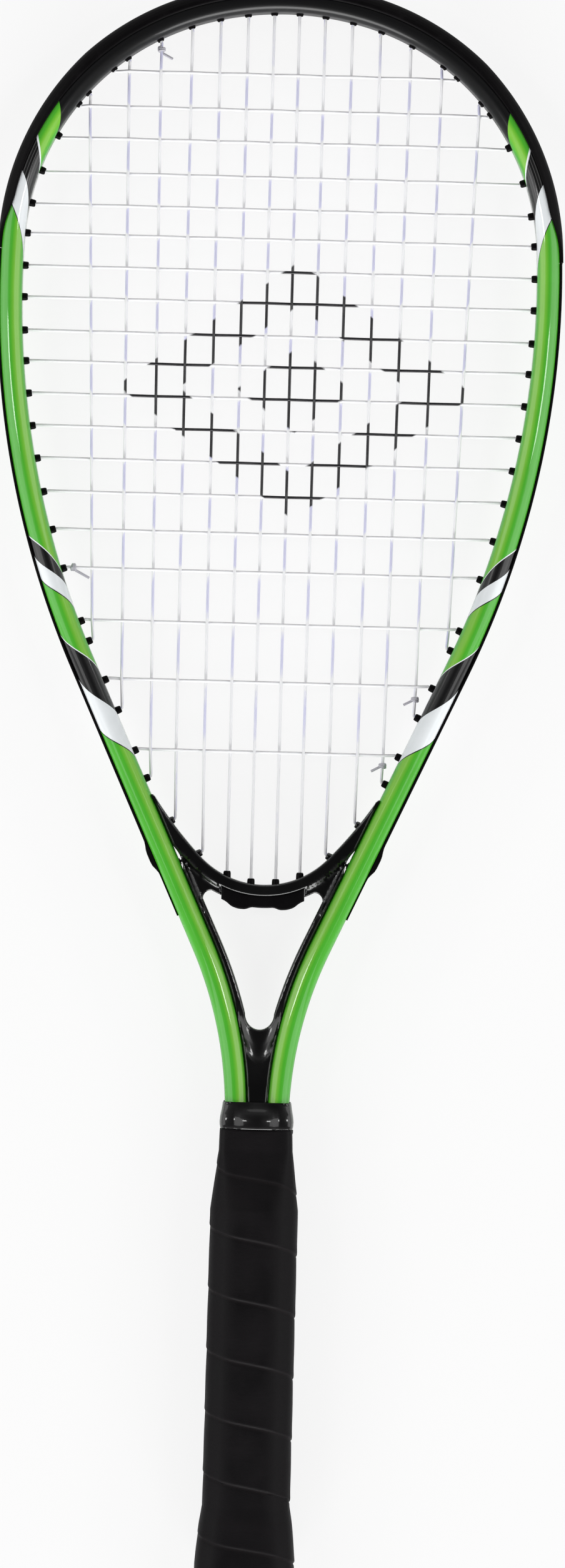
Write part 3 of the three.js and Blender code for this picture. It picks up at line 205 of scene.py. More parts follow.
def follow_piece(piece, distance):
    angle = piece["angle"] + piece["curve"] * distance
    if piece["curve"] == 0:
        return piece["x"] + distance * math.cos(angle), piece["y"] - distance * math.sin(angle), angle
    x = piece["x"] + (math.sin(angle) - math.sin(piece["angle"])) / piece["curve"]
    y = piece["y"] - (math.cos(piece["angle"]) - math.cos(angle)) / piece["curve"]
    return x, y, angle


def lay_rail():
    pieces = []
    spot = {"x": 0, "y": 0, "angle": 0, "start": 0}

    def add(length, curve):
        pieces.append({**spot, "length": length, "curve": curve})
        x, y, angle = follow_piece(pieces[-1], length)
        spot.update(x=x, y=y, angle=angle, start=spot["start"] + length)

    add(CROWN_RADIUS * CROWN_TURN, 1 / CROWN_RADIUS)
    add(CORNER_RADIUS * CORNER_TURN, 1 / CORNER_RADIUS)
    add(SIDE_RADIUS * (math.pi / 2 + TAPER_LEAN - spot["angle"]), 1 / SIDE_RADIUS)
    throat_shift = THROAT_RADIUS * (1 - math.cos(TAPER_LEAN))
    add((spot["x"] - throat_shift - SHANK_SPACING / 2) / math.sin(TAPER_LEAN), 0)
    add(THROAT_RADIUS * TAPER_LEAN, -1 / THROAT_RADIUS)
    rise = SHANK_TOP - spot["y"]
    add(SHANK_TOP - SHANK_END_HEIGHT, 0)
    for piece in pieces:
        piece["y"] += rise
    return pieces


RAIL = lay_rail()
RAIL_LENGTH = RAIL[-1]["start"] + RAIL[-1]["length"]
WIDEST = RAIL[2]["start"]
THROAT_START = RAIL[4]["start"]


def rail_frame(distance):
    """The place on the centre line and the outward direction, at a distance signed by the half."""
    along = min(abs(distance), RAIL_LENGTH)
    piece = [entry for entry in RAIL if entry["start"] <= along][-1]
    x, y, angle = follow_piece(piece, along - piece["start"])
    side = -1 if distance < 0 else 1
    return np.array([side * x, y, 0]), np.array([side * math.sin(angle), math.cos(angle), 0])


def rail_point(distance, out=0, height=0):
    centre, outward = rail_frame(distance)
    return centre + out * outward + np.array([0, 0, height])


def find_on_rail(test, low, high):
    """Halves the span until it meets the test, which falls from above zero to below it."""
    halvings = 45
    for _ in range(halvings):
        middle = (low + high) / 2
        if test(middle) > 0:
            low = middle
        else:
            high = middle
    return (low + high) / 2


def rail_at_height(height, out=0):
    return find_on_rail(lambda s: rail_point(s, out)[1] - height, 0, RAIL_LENGTH)


CROWN_HEIGHT = RAIL[0]["y"]
STRIP_END = rail_at_height(BRIDGE_CREST - STRIP_END_DROP)
GROOVE_END = STRIP_END + GROOVE_FADE
BUMPER_END = rail_at_height(CROWN_HEIGHT - BUMPER_DROP)


# Mesh helpers

def clamp(value, low=0, high=1):
    return max(low, min(high, value))


def mix(first, second, share):
    return first + (second - first) * share


def ease(share):
    share = clamp(share)
    return share * share * (3 - 2 * share)


def quarter_turns(steps):
    return [i / steps * math.pi / 2 for i in range(steps + 1)]


def add_object(name, data):
    obj = bpy.data.objects.new(name, data)
    bpy.context.scene.collection.objects.link(obj)
    return obj


def new_object(name, data, material):
    data.materials.append(material)
    return add_object(name, data)


def finish_piece(obj, slot, *nodes):
    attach(obj, "root")
    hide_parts(*nodes)


# Edges that turn by more than this stay sharp, in degrees
PLAIN_SHARP = 40
MOULDED_SHARP = 35
STRING_SHARP = 60
GRIP_SHARP = 50


def smooth_mesh(mesh, sharp_degrees=PLAIN_SHARP):
    mesh.shade_smooth()
    mesh.set_sharp_from_angle(angle=math.radians(sharp_degrees))


class Skin:
    """Gathers vertices, faces and vertex numbers of a mesh that is made of several lofts."""

    def __init__(self):
        self.points = []
        self.faces = []
        self.values = {}

    def loft(self, rings, caps=True, **values):
        """Skins rings of equal count. values hold one number per point, ring by ring."""
        rings = np.asarray(rings, float)
        rows, count = rings.shape[:2]
        base = len(self.points)
        self.points.extend(rings.reshape(-1, 3).tolist())
        for name, numbers in values.items():
            self.values.setdefault(name, []).extend(np.asarray(numbers, float).ravel().tolist())
        for row in range(rows - 1):
            for i in range(count):
                a = base + row * count + i
                b = base + row * count + (i + 1) % count
                self.faces.append((a, b, b + count, a + count))
        if caps:
            last = base + (rows - 1) * count
            self.faces.append(tuple(range(base + count - 1, base - 1, -1)))
            self.faces.append(tuple(range(last, last + count)))

    def make(self, name, material, sharp_degrees):
        mesh = bpy.data.meshes.new(name)
        mesh.from_pydata(self.points, [], self.faces)
        for label, numbers in self.values.items():
            layer = mesh.attributes.new(label, "FLOAT", "POINT")
            layer.data.foreach_set("value", numbers)
        turn_outward(mesh)
        smooth_mesh(mesh, sharp_degrees)
        return new_object(name, mesh, material)


def turn_outward(mesh):
    shell = bmesh.new()
    shell.from_mesh(mesh)
    bmesh.ops.recalc_face_normals(shell, faces=shell.faces)
    shell.to_mesh(mesh)
    shell.free()


def loft_piece(name, node, rings, material, slot, sharp_degrees=PLAIN_SHARP, caps=True, **values):
    skin = Skin()
    skin.loft(rings, caps, **values)
    finish_piece(skin.make(name, material, sharp_degrees), slot, node)


def tube_rings(path, radius, sides):
    """Rings round a path, carried along it without twist."""
    path = np.asarray(path, float)
    runs = np.gradient(path, axis=0)
    runs /= np.linalg.norm(runs, axis=1)[:, None]
    side = np.array([0, 0, 1.0])
    if abs(side @ runs[0]) > math.sqrt(0.5):
        side = np.array([1.0, 0, 0])
    turns = np.linspace(0, 2 * math.pi, sides, endpoint=False)
    rings = []
    for point, run in zip(path, runs):
        side = side - (side @ run) * run
        side /= np.linalg.norm(side)
        other = np.cross(run, side)
        rings.append([point + radius * (math.cos(t) * side + math.sin(t) * other) for t in turns])
    return rings


def corner_curve(before, corner, after, reach, steps=4):
    """The curve that replaces a corner. It starts a reach before it, or half a side if that is less."""
    into = before - corner
    away = after - corner
    near = min(reach, np.linalg.norm(into) / 2, np.linalg.norm(away) / 2)
    start = corner + into / np.linalg.norm(into) * near
    end = corner + away / np.linalg.norm(away) * near
    shares = [i / steps for i in range(steps + 1)]
    return [(1 - t) ** 2 * start + 2 * t * (1 - t) * corner + t * t * end for t in shares]


def round_outline(outline, radii, steps):
    """Rounds the corners of a closed outline of [out, height] pairs, one radius for each."""
    outline = np.asarray(outline, float)
    befores, afters = np.roll(outline, 1, axis=0), np.roll(outline, -1, axis=0)
    result = []
    for before, corner, after, radius in zip(befores, outline, afters, radii):
        result += corner_curve(before, corner, after, radius, steps)
    return np.array(result)


def rail_rings(stations, outline):
    rings = []
    for s in stations:
        centre, outward = rail_frame(s)
        pairs = outline(s)
        rings.append(centre + pairs[:, :1] * outward + pairs[:, 1:] * np.array([0, 0, 1]))
    return rings


def plate_object(name, outlines, depth, bevel, material):
    """A flat piece of that depth with rounded edges. The first outline is its rim."""
    curve = bpy.data.curves.new(name + "_outline", "CURVE")
    curve.dimensions = "2D"
    curve.fill_mode = "BOTH"
    curve.extrude = depth / 2 - bevel
    curve.bevel_depth = bevel
    curve.bevel_resolution = 3
    curve.offset = -bevel
    for outline in outlines:
        spline = curve.splines.new("POLY")
        spline.points.add(len(outline) - 1)
        for point, (x, y) in zip(spline.points, outline):
            point.co = (x, y, 0, 1)
        spline.use_cyclic_u = True
    holder = add_object(name + "_outline", curve)
    bpy.context.view_layer.update()
    graph = bpy.context.evaluated_depsgraph_get()
    mesh = bpy.data.meshes.new_from_object(holder.evaluated_get(graph))
    bpy.data.objects.remove(holder)
    mesh.name = name
    smooth_mesh(mesh)
    mesh.materials.clear()
    return new_object(name, mesh, material)


def join_meshes(name, objects):
    """One object out of several that share a material."""
    with bpy.context.temp_override(
        active_object=objects[0], selected_editable_objects=objects, object=objects[0],
        selected_objects=objects,
    ):
        bpy.ops.object.join()
    objects[0].name = name
    return objects[0]


# Materials

class Nodes:
    """A node tree and the few calls that each tree here uses."""

    def __init__(self, tree):
        self.tree = tree
        self.place = self.output("Object", "TexCoord")

    def put(self, socket, value):
        if isinstance(value, bpy.types.NodeSocket):
            self.tree.links.new(value, socket)
        elif socket.type == "RGBA":
            socket.default_value = (*value, 1)
        else:
            socket.default_value = value

    def node(self, kind, **inputs):
        """Adds a node, named without its prefix, and fills its inputs with values or links."""
        node = self.tree.nodes.new("ShaderNode" + kind)
        for label, value in inputs.items():
            self.put(node.inputs[label.replace("_", " ")], value)
        return node

    def output(self, label, kind, **inputs):
        return self.node(kind, **inputs).outputs[label]

    def math(self, operation, *values):
        node = self.node("Math")
        node.operation = operation
        for socket, value in zip(node.inputs, values):
            self.put(socket, value)
        return node.outputs[0]

    def blend(self, share, first, second):
        node = self.node("Mix")
        node.data_type = "RGBA"
        factor, first_socket, second_socket = 0, 6, 7
        for index, value in ((factor, share), (first_socket, first), (second_socket, second)):
            self.put(node.inputs[index], value)
        return node.outputs[2]

    def spread(self, value, low, high, to_low=0.0, to_high=1.0):
        ends = {"From_Min": low, "From_Max": high, "To_Min": to_low, "To_Max": to_high}
        return self.output("Result", "MapRange", Value=value, **ends)

    def vary(self, noise, to_low=0.0, to_high=1.0):
        """Spreads a noise, which keeps to the middle of its range, over the span given."""
        usual_low, usual_high = 0.3, 0.7
        return self.spread(noise, usual_low, usual_high, to_low, to_high)

    def number(self, label):
        node = self.node("Attribute")
        node.attribute_name = label
        return node.outputs["Fac"]

    def split(self, vector):
        return self.node("SeparateXYZ", Vector=vector).outputs

    def stretch(self, scales):
        """The object's place, drawn denser along each axis by its own one of the scales."""
        return self.output("Vector", "Mapping", Vector=self.place, Scale=scales)

    def noise(self, scale, detail=3.0, roughness=0.5, scales=None):
        place = self.stretch(scales) if scales else self.place
        return self.output("Fac", "TexNoise", Vector=place, Scale=scale, Detail=detail, Roughness=roughness)

    def cells(self, scale):
        return self.output("Distance", "TexVoronoi", Vector=self.place, Scale=scale)

    def band(self, value, low, high, blur):
        """One between low and high, nothing outside, with soft edges."""
        rise = self.spread(value, low - blur, low + blur)
        fall = self.spread(value, high - blur, high + blur, 1.0, 0.0)
        return self.math("MULTIPLY", rise, fall)


class Look(Nodes):
    """A material: its Principled surface takes the plain inputs that are given by name."""

    def __init__(self, name, **plain):
        self.material = bpy.data.materials.new(name)
        self.material.use_nodes = True
        super().__init__(self.material.node_tree)
        self.surface = self.tree.nodes["Principled BSDF"]
        for label, value in plain.items():
            self.set(label.replace("_", " "), value)

    def set(self, label, value):
        self.put(self.surface.inputs[label], value)

    def bump(self, *layers):
        """Each layer is a height, its strength and the millimetres that a height of one stands for."""
        normal = None
        for height, strength, depth in layers:
            node = self.node("Bump", Height=height, Strength=strength, Distance=depth * MM)
            if normal is not None:
                self.put(node.inputs["Normal"], normal)
            normal = node.outputs["Normal"]
        self.set("Normal", normal)


# Colours, as linear light
PAINT_GREEN = (0.076, 0.48, 0.026)
# The lime below is a painted sheen for the inner half of the tube
PAINT_LIME_SHEEN = (0.225, 0.6, 0.045)
PAINT_BLACK = (0.004, 0.004, 0.0045)
PAINT_WHITE = (0.93, 0.97, 0.99)
PAINT_GREY = (0.1, 0.1, 0.1)
GLOSS_BLACK = (0.0018, 0.0017, 0.002)
PLASTIC_BLACK = (0.0035, 0.003, 0.0035)
STRING_WHITE = (0.95, 0.95, 0.97)
# Painted shade for the mains and the crosses, on string faces that lean toward the head
MAIN_PAINTED_SHADE = (0.74, 0.74, 0.96)
CROSS_PAINTED_SHADE = (0.45, 0.42, 0.44)
INK_BLACK = (0.012, 0.011, 0.014)
PLASTIC_WORN = (0.0075, 0.0065, 0.0075)
KNOT_DARK = (0.38, 0.37, 0.42)
KNOT_PALE = (0.66, 0.65, 0.7)
GRIP_DARK = (0.0033, 0.0028, 0.0034)
GRIP_PALE = (0.0066, 0.0054, 0.0064)
# Paler seam colour: worn tape edges and a painted highlight along them
SEAM_WEAR_AND_HIGHLIGHT = (0.011, 0.009, 0.01)
COLLAR_BLACK = (0.0025, 0.0022, 0.0025)
FOAM_DARK = (0.018, 0.018, 0.019)
FOAM_PALE = (0.035, 0.035, 0.037)
STEEL_DARK = (0.42, 0.42, 0.43)
STEEL_PALE = (0.62, 0.62, 0.63)
FLOOR_WHITE = (0.96, 0.96, 0.96)

# Paint edges round the tube. Each starts at its place on the outer edge and runs along the rail
# as it turns toward the inner edge: place, lean and bend for a turn from none to one.
LEAF_START = (95 * MM, -2.5 * MM, 16 * MM)
LEAF_END = (105.8 * MM, 10.4 * MM, 7.4 * MM)
FIRST_WHITE = (125 * MM, -9 * MM, 26 * MM)
FIRST_GREEN = (136.3 * MM, -1.8 * MM, 25.3 * MM)
SECOND_BLACK = (261 * MM, 4.7 * MM, 15.2 * MM)
SECOND_WHITE = (268.3 * MM, 15 * MM, 1 * MM)
SECOND_GREEN = (277.8 * MM, 12.2 * MM, 3.6 * MM)
THIRD_BLACK = (298.6 * MM, 18.6 * MM, 0.3 * MM)
THIRD_WHITE = (316.2 * MM, 25.2 * MM, -5.8 * MM)
THIRD_GREEN = (337.6 * MM, 16.5 * MM, 0)
LOWER_STRIPES = ((SECOND_BLACK, SECOND_WHITE, SECOND_GREEN), (THIRD_BLACK, THIRD_WHITE, THIRD_GREEN))
LINE_WIDTH = 0.6 * MM
CRESCENT_WIDTH = 1.2 * MM
EDGE_BLUR = 0.08 * MM
FINE_LINE_TURNS = [0.42, 0.5, 0.58, 0.66]
FINE_LINE_HALF = 0.008
# Where the painted lime sheen lies round the tube, and how soft its edges are
LIME_SHEEN_TURNS = (0.54, 0.78)
LIME_SHEEN_BLUR = 0.06
CROWN_COAT = 0.25


def make_tube_paint():
    look = Look("tube_paint", Roughness=0.35, Specular_IOR_Level=0.3, Coat_Roughness=0.045)
    along = look.number("along")
    turn = look.number("turn")
    squared = look.math("MULTIPLY", turn, turn)

    def past(edge, shift=0.0):
        place, lean, bend = edge
        bent = look.math("MULTIPLY_ADD", squared, bend, place + shift)
        line = look.math("MULTIPLY_ADD", turn, lean, bent)
        ahead = look.math("SUBTRACT", along, line)
        return look.spread(ahead, -EDGE_BLUR, EDGE_BLUR)

    # The paler lime band along the inner half of the tube is a painted sheen, light that falls on that side
    lime_sheen_share = look.band(turn, *LIME_SHEEN_TURNS, LIME_SHEEN_BLUR)
    green = look.blend(lime_sheen_share, PAINT_GREEN, PAINT_LIME_SHEEN)
    stripes = PAINT_BLACK
    for middle in FINE_LINE_TURNS:
        line = look.band(turn, middle - FINE_LINE_HALF, middle + FINE_LINE_HALF, FINE_LINE_HALF / 2)
        stripes = look.blend(line, stripes, PAINT_GREY)
    layers = [
        (LEAF_START, 0.0, green),
        (LEAF_END, 0.0, PAINT_WHITE),
        (LEAF_END, CRESCENT_WIDTH, stripes),
        (FIRST_WHITE, 0.0, PAINT_WHITE),
        (FIRST_GREEN, -LINE_WIDTH, PAINT_BLACK),
        (FIRST_GREEN, 0.0, green),
    ]
    for black_edge, white_edge, green_edge in LOWER_STRIPES:
        layers += [
            (black_edge, 0.0, PAINT_WHITE),
            (black_edge, LINE_WIDTH, PAINT_BLACK),
            (white_edge, 0.0, PAINT_WHITE),
            (green_edge, -LINE_WIDTH, PAINT_BLACK),
            (green_edge, 0.0, green),
        ]
    colour = PAINT_BLACK
    for edge, shift, paint in layers:
        colour = look.blend(past(edge, shift), colour, paint)
    shade = look.vary(look.noise(90.0), 0.94, 1.0)
    dimmed = look.node("VectorMath")
    dimmed.operation = "SCALE"
    look.put(dimmed.inputs[0], colour)
    look.put(dimmed.inputs["Scale"], shade)
    look.set("Base Color", dimmed.outputs[0])
    look.set("Coat Weight", look.spread(along, LEAF_START[0], FIRST_WHITE[0], CROWN_COAT, 1.0))
    peel = look.noise(900.0, 2.0)
    look.bump((peel, 0.03, 0.2))
    return look.material


def make_gloss_black():
    look = Look("moulded_gloss_black", Coat_Weight=0.5, Coat_Roughness=0.06, Base_Color=GLOSS_BLACK)
    smear = look.noise(60.0, 4.0)
    look.set("Roughness", look.vary(smear, 0.16, 0.28))
    look.bump((look.noise(700.0, 2.0), 0.04, 0.2))
    return look.material


def make_strip_black():
    look = Look("strip_plastic", Specular_IOR_Level=0.07)
    wear = look.noise(140.0, 5.0, 0.7)
    look.set("Base Color", look.blend(look.spread(wear, 0.55, 0.8), PLASTIC_BLACK, PLASTIC_WORN))
    look.set("Roughness", look.spread(wear, 0.3, 0.75, 0.34, 0.55))
    grain = look.noise(2600.0, 3.0, 0.6)
    scuff = look.noise(500.0, 4.0, 0.7, scales=(1.0, 0.3, 1.0))
    look.bump((grain, 0.25, 0.08), (scuff, 0.12, 0.15))
    return look.material


STENCIL_CENTRE = (7 * MM, 448 * MM)
STENCIL_HALF = (68 * MM, 49 * MM)
STENCIL_BAND = (0.66, 1.0)
STENCIL_CORE = 0.34
STENCIL_RAG = 0.03
RING_BLUR = 0.008
CORE_BLUR = 0.01
STEEPEST = 0.08
MAIN_AWAY = 0.06
CROSS_AWAY = 1.6


def make_string_white(name, shade, away):
    """String whose faces toward the head, as far as away says, have a painted shade, cooler and darker,
    where a lamp at the foot would leave them in shade.
    """
    look = Look(name, Roughness=0.32, Specular_IOR_Level=0.5, Coat_Weight=0.3, Coat_Roughness=0.15)
    x, y, _ = look.split(look.place)
    cloud = look.noise(160.0, 4.0)
    _, headward, upward = look.split(look.output("Normal", "NewGeometry"))
    steep = look.math("MAXIMUM", look.math("ABSOLUTE", upward), STEEPEST)
    slope = look.math("DIVIDE", headward, steep)
    painted_shade_edge = look.math("MULTIPLY_ADD", look.math("SUBTRACT", cloud, 0.5), away, slope)
    # Painted shade: faces that lean toward the head take the darker shade colour, standing in for shade
    # from a lamp at the foot
    string = look.blend(look.spread(painted_shade_edge, away / 3, away), STRING_WHITE, shade)
    across = look.math("ABSOLUTE", look.math("SUBTRACT", x, STENCIL_CENTRE[0]))
    up = look.math("ABSOLUTE", look.math("SUBTRACT", y, STENCIL_CENTRE[1]))
    reach = look.math("DIVIDE", across, STENCIL_HALF[0])
    diamond = look.math("MULTIPLY_ADD", up, 1 / STENCIL_HALF[1], reach)
    ragged = look.math("MULTIPLY_ADD", look.noise(420.0, 3.0), STENCIL_RAG, diamond)
    ring = look.band(ragged, *STENCIL_BAND, RING_BLUR)
    core = look.spread(ragged, STENCIL_CORE - CORE_BLUR, STENCIL_CORE + CORE_BLUR, 1.0, 0.0)
    ink = look.math("MAXIMUM", ring, core)
    look.set("Base Color", look.blend(ink, string, INK_BLACK))
    fine = look.stretch((900.0, 900.0, 900.0))
    twist = look.node("TexWave", Vector=fine, Scale=1.0, Distortion=1.0)
    twist.bands_direction = "DIAGONAL"
    look.bump((twist.outputs["Fac"], 0.12, 0.05))
    return look.material


def make_knot_grey():
    look = Look("knot_string", Roughness=0.5)
    fuzz = look.noise(1800.0, 4.0, 0.7)
    look.set("Base Color", look.blend(fuzz, KNOT_DARK, KNOT_PALE))
    look.bump((fuzz, 0.3, 0.1))
    return look.material


def make_grip_black():
    look = Look("grip_tape", Sheen_Weight=0.02, Sheen_Roughness=0.5, Specular_IOR_Level=0.12)
    cloud = look.noise(70.0, 4.0)
    seam = look.number("seam")
    base = look.blend(look.vary(cloud), GRIP_DARK, GRIP_PALE)
    # The seams are painted a paler grey: worn tape edges with a painted highlight along them
    look.set("Base Color", look.blend(seam, base, SEAM_WEAR_AND_HIGHLIGHT))
    look.set("Roughness", look.vary(cloud, 0.5, 0.66))
    grain = look.noise(1500.0, 5.0, 0.65)
    pore = look.cells(1300.0)
    crease = look.noise(190.0, 4.0, 0.6, scales=(0.6, 2.4, 0.6))
    look.bump((crease, 0.3, 0.5), (grain, 0.35, 0.12), (pore, 0.2, 0.1))
    return look.material


def make_collar_rubber():
    look = Look("collar_rubber_gloss", Coat_Weight=0.9, Coat_Roughness=0.08, Base_Color=COLLAR_BLACK)
    smear = look.noise(120.0, 4.0)
    look.set("Roughness", look.vary(smear, 0.3, 0.45))
    look.set("Specular IOR Level", look.vary(smear, 0.15, 0.25))
    look.bump((look.noise(800.0, 3.0), 0.1, 0.15))
    return look.material


def make_handle_foam():
    look = Look("handle_foam_skin", Roughness=0.8)
    cells = look.cells(900.0)
    look.set("Base Color", look.blend(cells, FOAM_DARK, FOAM_PALE))
    look.bump((cells, 0.5, 0.2))
    return look.material


def make_staple_steel():
    look = Look("staple_wire", Metallic=1.0)
    drawn = look.noise(60.0, 3.0, scales=(8.0, 60.0, 60.0))
    look.set("Base Color", look.blend(drawn, STEEL_DARK, STEEL_PALE))
    look.set("Roughness", look.vary(drawn, 0.22, 0.38))
    look.bump((drawn, 0.1, 0.05))
    return look.material


tube_paint = make_tube_paint()
gloss_black = make_gloss_black()
strip_black = make_strip_black()
main_white = make_string_white("main_multifilament", MAIN_PAINTED_SHADE, MAIN_AWAY)
cross_white = make_string_white("cross_multifilament", CROSS_PAINTED_SHADE, CROSS_AWAY)
knot_grey = make_knot_grey()
grip_black = make_grip_black()
collar_rubber = make_collar_rubber()
handle_foam = make_handle_foam()
staple_steel = make_staple_steel()


# Frame tube

TUBE_ROUND_STEPS = 20
RAIL_STEP = 1.6 * MM


def groove_share(s):
    return clamp((GROOVE_END - abs(s)) / GROOVE_FADE)


def tube_outline(s):
    floor = TUBE_HALF - GROOVE_DEPTH * groove_share(s)
    turns = np.linspace(0, math.pi, TUBE_ROUND_STEPS + 1)
    front = np.stack([TUBE_HALF * np.cos(turns), FLAT_HALF + TUBE_HALF * np.sin(turns)], axis=1)
    groove = np.array([[floor, -GROOVE_HALF], [floor, GROOVE_HALF]])
    return np.concatenate([front, -front, groove])


def rail_stations(start, end, step=RAIL_STEP):
    count = max(1, round((end - start) / step))
    return np.linspace(start, end, count + 1)


def make_frame_tube():
    half = np.concatenate([
        rail_stations(0, STRIP_END),
        rail_stations(STRIP_END, GROOVE_END)[1:],
        rail_stations(GROOVE_END, RAIL_LENGTH)[1:],
    ])
    stations = np.concatenate([-half[:0:-1], half])
    rings = rail_rings(stations, tube_outline)
    turn = np.linspace(0, 1, TUBE_ROUND_STEPS + 1)
    ring_turn = np.concatenate([turn, turn[::-1], [0, 0]])
    along = [[abs(s)] * len(ring_turn) for s in stations]
    turns = [ring_turn] * len(stations)
    loft_piece("tube", "frame_tube", rings, tube_paint, "green_paint", along=along, turn=turns)


make_frame_tube()


# Ports: where a string passes the tube or the bridge

BED_TOP = CROWN_HEIGHT - TUBE_HALF
BED_LENGTH = BED_TOP - BRIDGE_CREST
BED_HALF_WIDTH = max(rail_point(s)[0] for s in rail_stations(0, RAIL_LENGTH)) - TUBE_HALF
ROW_HEIGHTS = [BRIDGE_CREST + share * BED_LENGTH for share in CROSS_ROW_SHARES]
MAIN_COUNT = 2 * len(MAIN_TOP_SHARES)
ROW_COUNT = len(CROSS_ROW_SHARES)
BRIDGE_CENTRE = BRIDGE_CREST + BRIDGE_RADIUS
SIDE_MAINS = 3
SLANT_MAINS = 2


def main_order(index):
    middle = len(MAIN_TOP_SHARES)
    return (-1, middle - 1 - index) if index < middle else (1, index - middle)


def main_x(index, height):
    order, place = main_order(index)
    share = (height - BRIDGE_CREST) / BED_LENGTH
    return order * BED_HALF_WIDTH * mix(MAIN_BOTTOM_SHARES[place], MAIN_TOP_SHARES[place], share)


def arc_point(centre, radius, turn):
    return centre + radius * np.array([math.sin(turn), -math.cos(turn)])


def bridge_point(turn, inward=0):
    return arc_point(np.array([0, BRIDGE_CENTRE]), BRIDGE_RADIUS + inward, turn)


HORN_CENTRE = arc_point(bridge_point(BRIDGE_TURN), -HORN_RADIUS, BRIDGE_TURN)
BRIDGE_ARC_END = bridge_point(BRIDGE_TURN)
HORN_END = arc_point(HORN_CENTRE, HORN_RADIUS, HORN_TURN)


def bridge_edge_height(x):
    """The string side's edge: the bridge's arc, then the horn's arc, then the horn's straight tip."""
    across = abs(x)
    if across <= BRIDGE_ARC_END[0]:
        return BRIDGE_CENTRE - math.sqrt(BRIDGE_RADIUS ** 2 - across ** 2)
    if across >= HORN_END[0]:
        return HORN_END[1] + (across - HORN_END[0]) * math.tan(HORN_TURN)
    turn = math.asin(math.sin(BRIDGE_TURN) + (across - BRIDGE_ARC_END[0]) / HORN_RADIUS)
    return arc_point(HORN_CENTRE, HORN_RADIUS, turn)[1]


def bridge_under_height(x, inward):
    return BRIDGE_CENTRE - math.sqrt((BRIDGE_RADIUS + inward) ** 2 - x ** 2)


def tip_level_at(s):
    """Barrels stand out less round the crown."""
    start, end = (share * BUMPER_END for share in CROWN_REACH_SHARES)
    share = ease((abs(s) - start) / (end - start))
    return -(TUBE_HALF + mix(CROWN_BARREL_REACH, BARREL_REACH, share))


def tip_point(s):
    return rail_point(s, tip_level_at(s))


class Port:
    """Where strings pass the rail or the bridge. at is the distance along the rail, or the X.

    tip and lane are levels: that of its barrel's tip, and that of the strings' way past it. own
    is the height of its own string, and guest that of a string that is tied there, if any is.
    """

    def __init__(self, at, tip, lane=LANE_LEVEL, kind="rail"):
        self.at = at
        self.tip = tip
        self.lane = lane
        self.kind = kind
        self.own = 0
        self.guest = None

    def spot(self, level, height=0):
        if self.kind == "bridge":
            return np.array([self.at, -level, 0])
        return rail_point(self.at, level, height)

    def way(self, height):
        return [self.spot(self.tip - TIP_BEND_LEAD, height), self.spot(self.lane, height)]


def rail_port(at):
    return Port(at, tip_level_at(at))


def main_gap(index, s):
    """How far outside a main the tip of a barrel there lies."""
    x, height, _ = tip_point(s)
    return x - abs(main_x(index, height))


def top_port(index):
    order, _ = main_order(index)
    return rail_port(order * find_on_rail(lambda s: -main_gap(index, s), 0, WIDEST))


def bottom_port(index):
    """Outer mains end in the rail, inner ones in the bridge, those between slant to the rail."""
    order, place = main_order(index)
    from_side = len(MAIN_TOP_SHARES) - 1 - place
    if from_side < SIDE_MAINS:
        return rail_port(order * find_on_rail(lambda s: main_gap(index, s), WIDEST, RAIL_LENGTH))
    x = main_x(index, bridge_edge_height(main_x(index, BRIDGE_CREST)))
    tip_height = bridge_edge_height(x) + BARREL_REACH
    if from_side >= SIDE_MAINS + SLANT_MAINS:
        return Port(x, -tip_height, -bridge_under_height(x, BRIDGE_LANE), "bridge")
    right_tip = np.array([abs(x), tip_height, 0])

    def aside(s):
        centre, outward = rail_frame(s)
        arm = right_tip - centre
        return arm[0] * outward[1] - arm[1] * outward[0]

    spot = find_on_rail(aside, WIDEST, THROAT_START)
    centre, outward = rail_frame(spot)
    return Port(order * spot, float((right_tip - centre) @ outward), LANE_LEVEL, "slant")


MAIN_TOPS = [top_port(i) for i in range(MAIN_COUNT)]
MAIN_FEET = [bottom_port(i) for i in range(MAIN_COUNT)]


def row_ports(height):
    spot = find_on_rail(lambda s: tip_point(s)[1] - height, 0, RAIL_LENGTH)
    return [rail_port(side * spot) for side in (-1, 1)]


ROW_ENDS = [row_ports(height) for height in ROW_HEIGHTS]


def share_port(port, guest):
    port.own = -guest * PAIR_OFFSET
    port.guest = guest * PAIR_OFFSET
    return port


LAST_MAIN = MAIN_COUNT - 1
LAST_ROW = ROW_COUNT - 1
MAIN_TIE_ROW = LAST_ROW - 3
ROW_TIE_MAIN = 2
FIRST_MAIN_TIE = share_port(ROW_ENDS[MAIN_TIE_ROW][0], -1)
LAST_MAIN_TIE = share_port(MAIN_FEET[LAST_MAIN - 1], 1)
FIRST_ROW_TIE = share_port(MAIN_TOPS[ROW_TIE_MAIN], 1)
LAST_ROW_TIE = share_port(MAIN_FEET[LAST_MAIN - 2], 1)

ALL_PORTS = MAIN_TOPS + MAIN_FEET + [port for ends in ROW_ENDS for port in ends]
RAIL_PORTS = [port for port in ALL_PORTS if port.kind != "bridge"]
BRIDGE_PORTS = [port for port in MAIN_FEET if port.kind == "bridge"]
SLANT_PORTS = [port for port in MAIN_FEET if port.kind == "slant"]


# Grommet strips

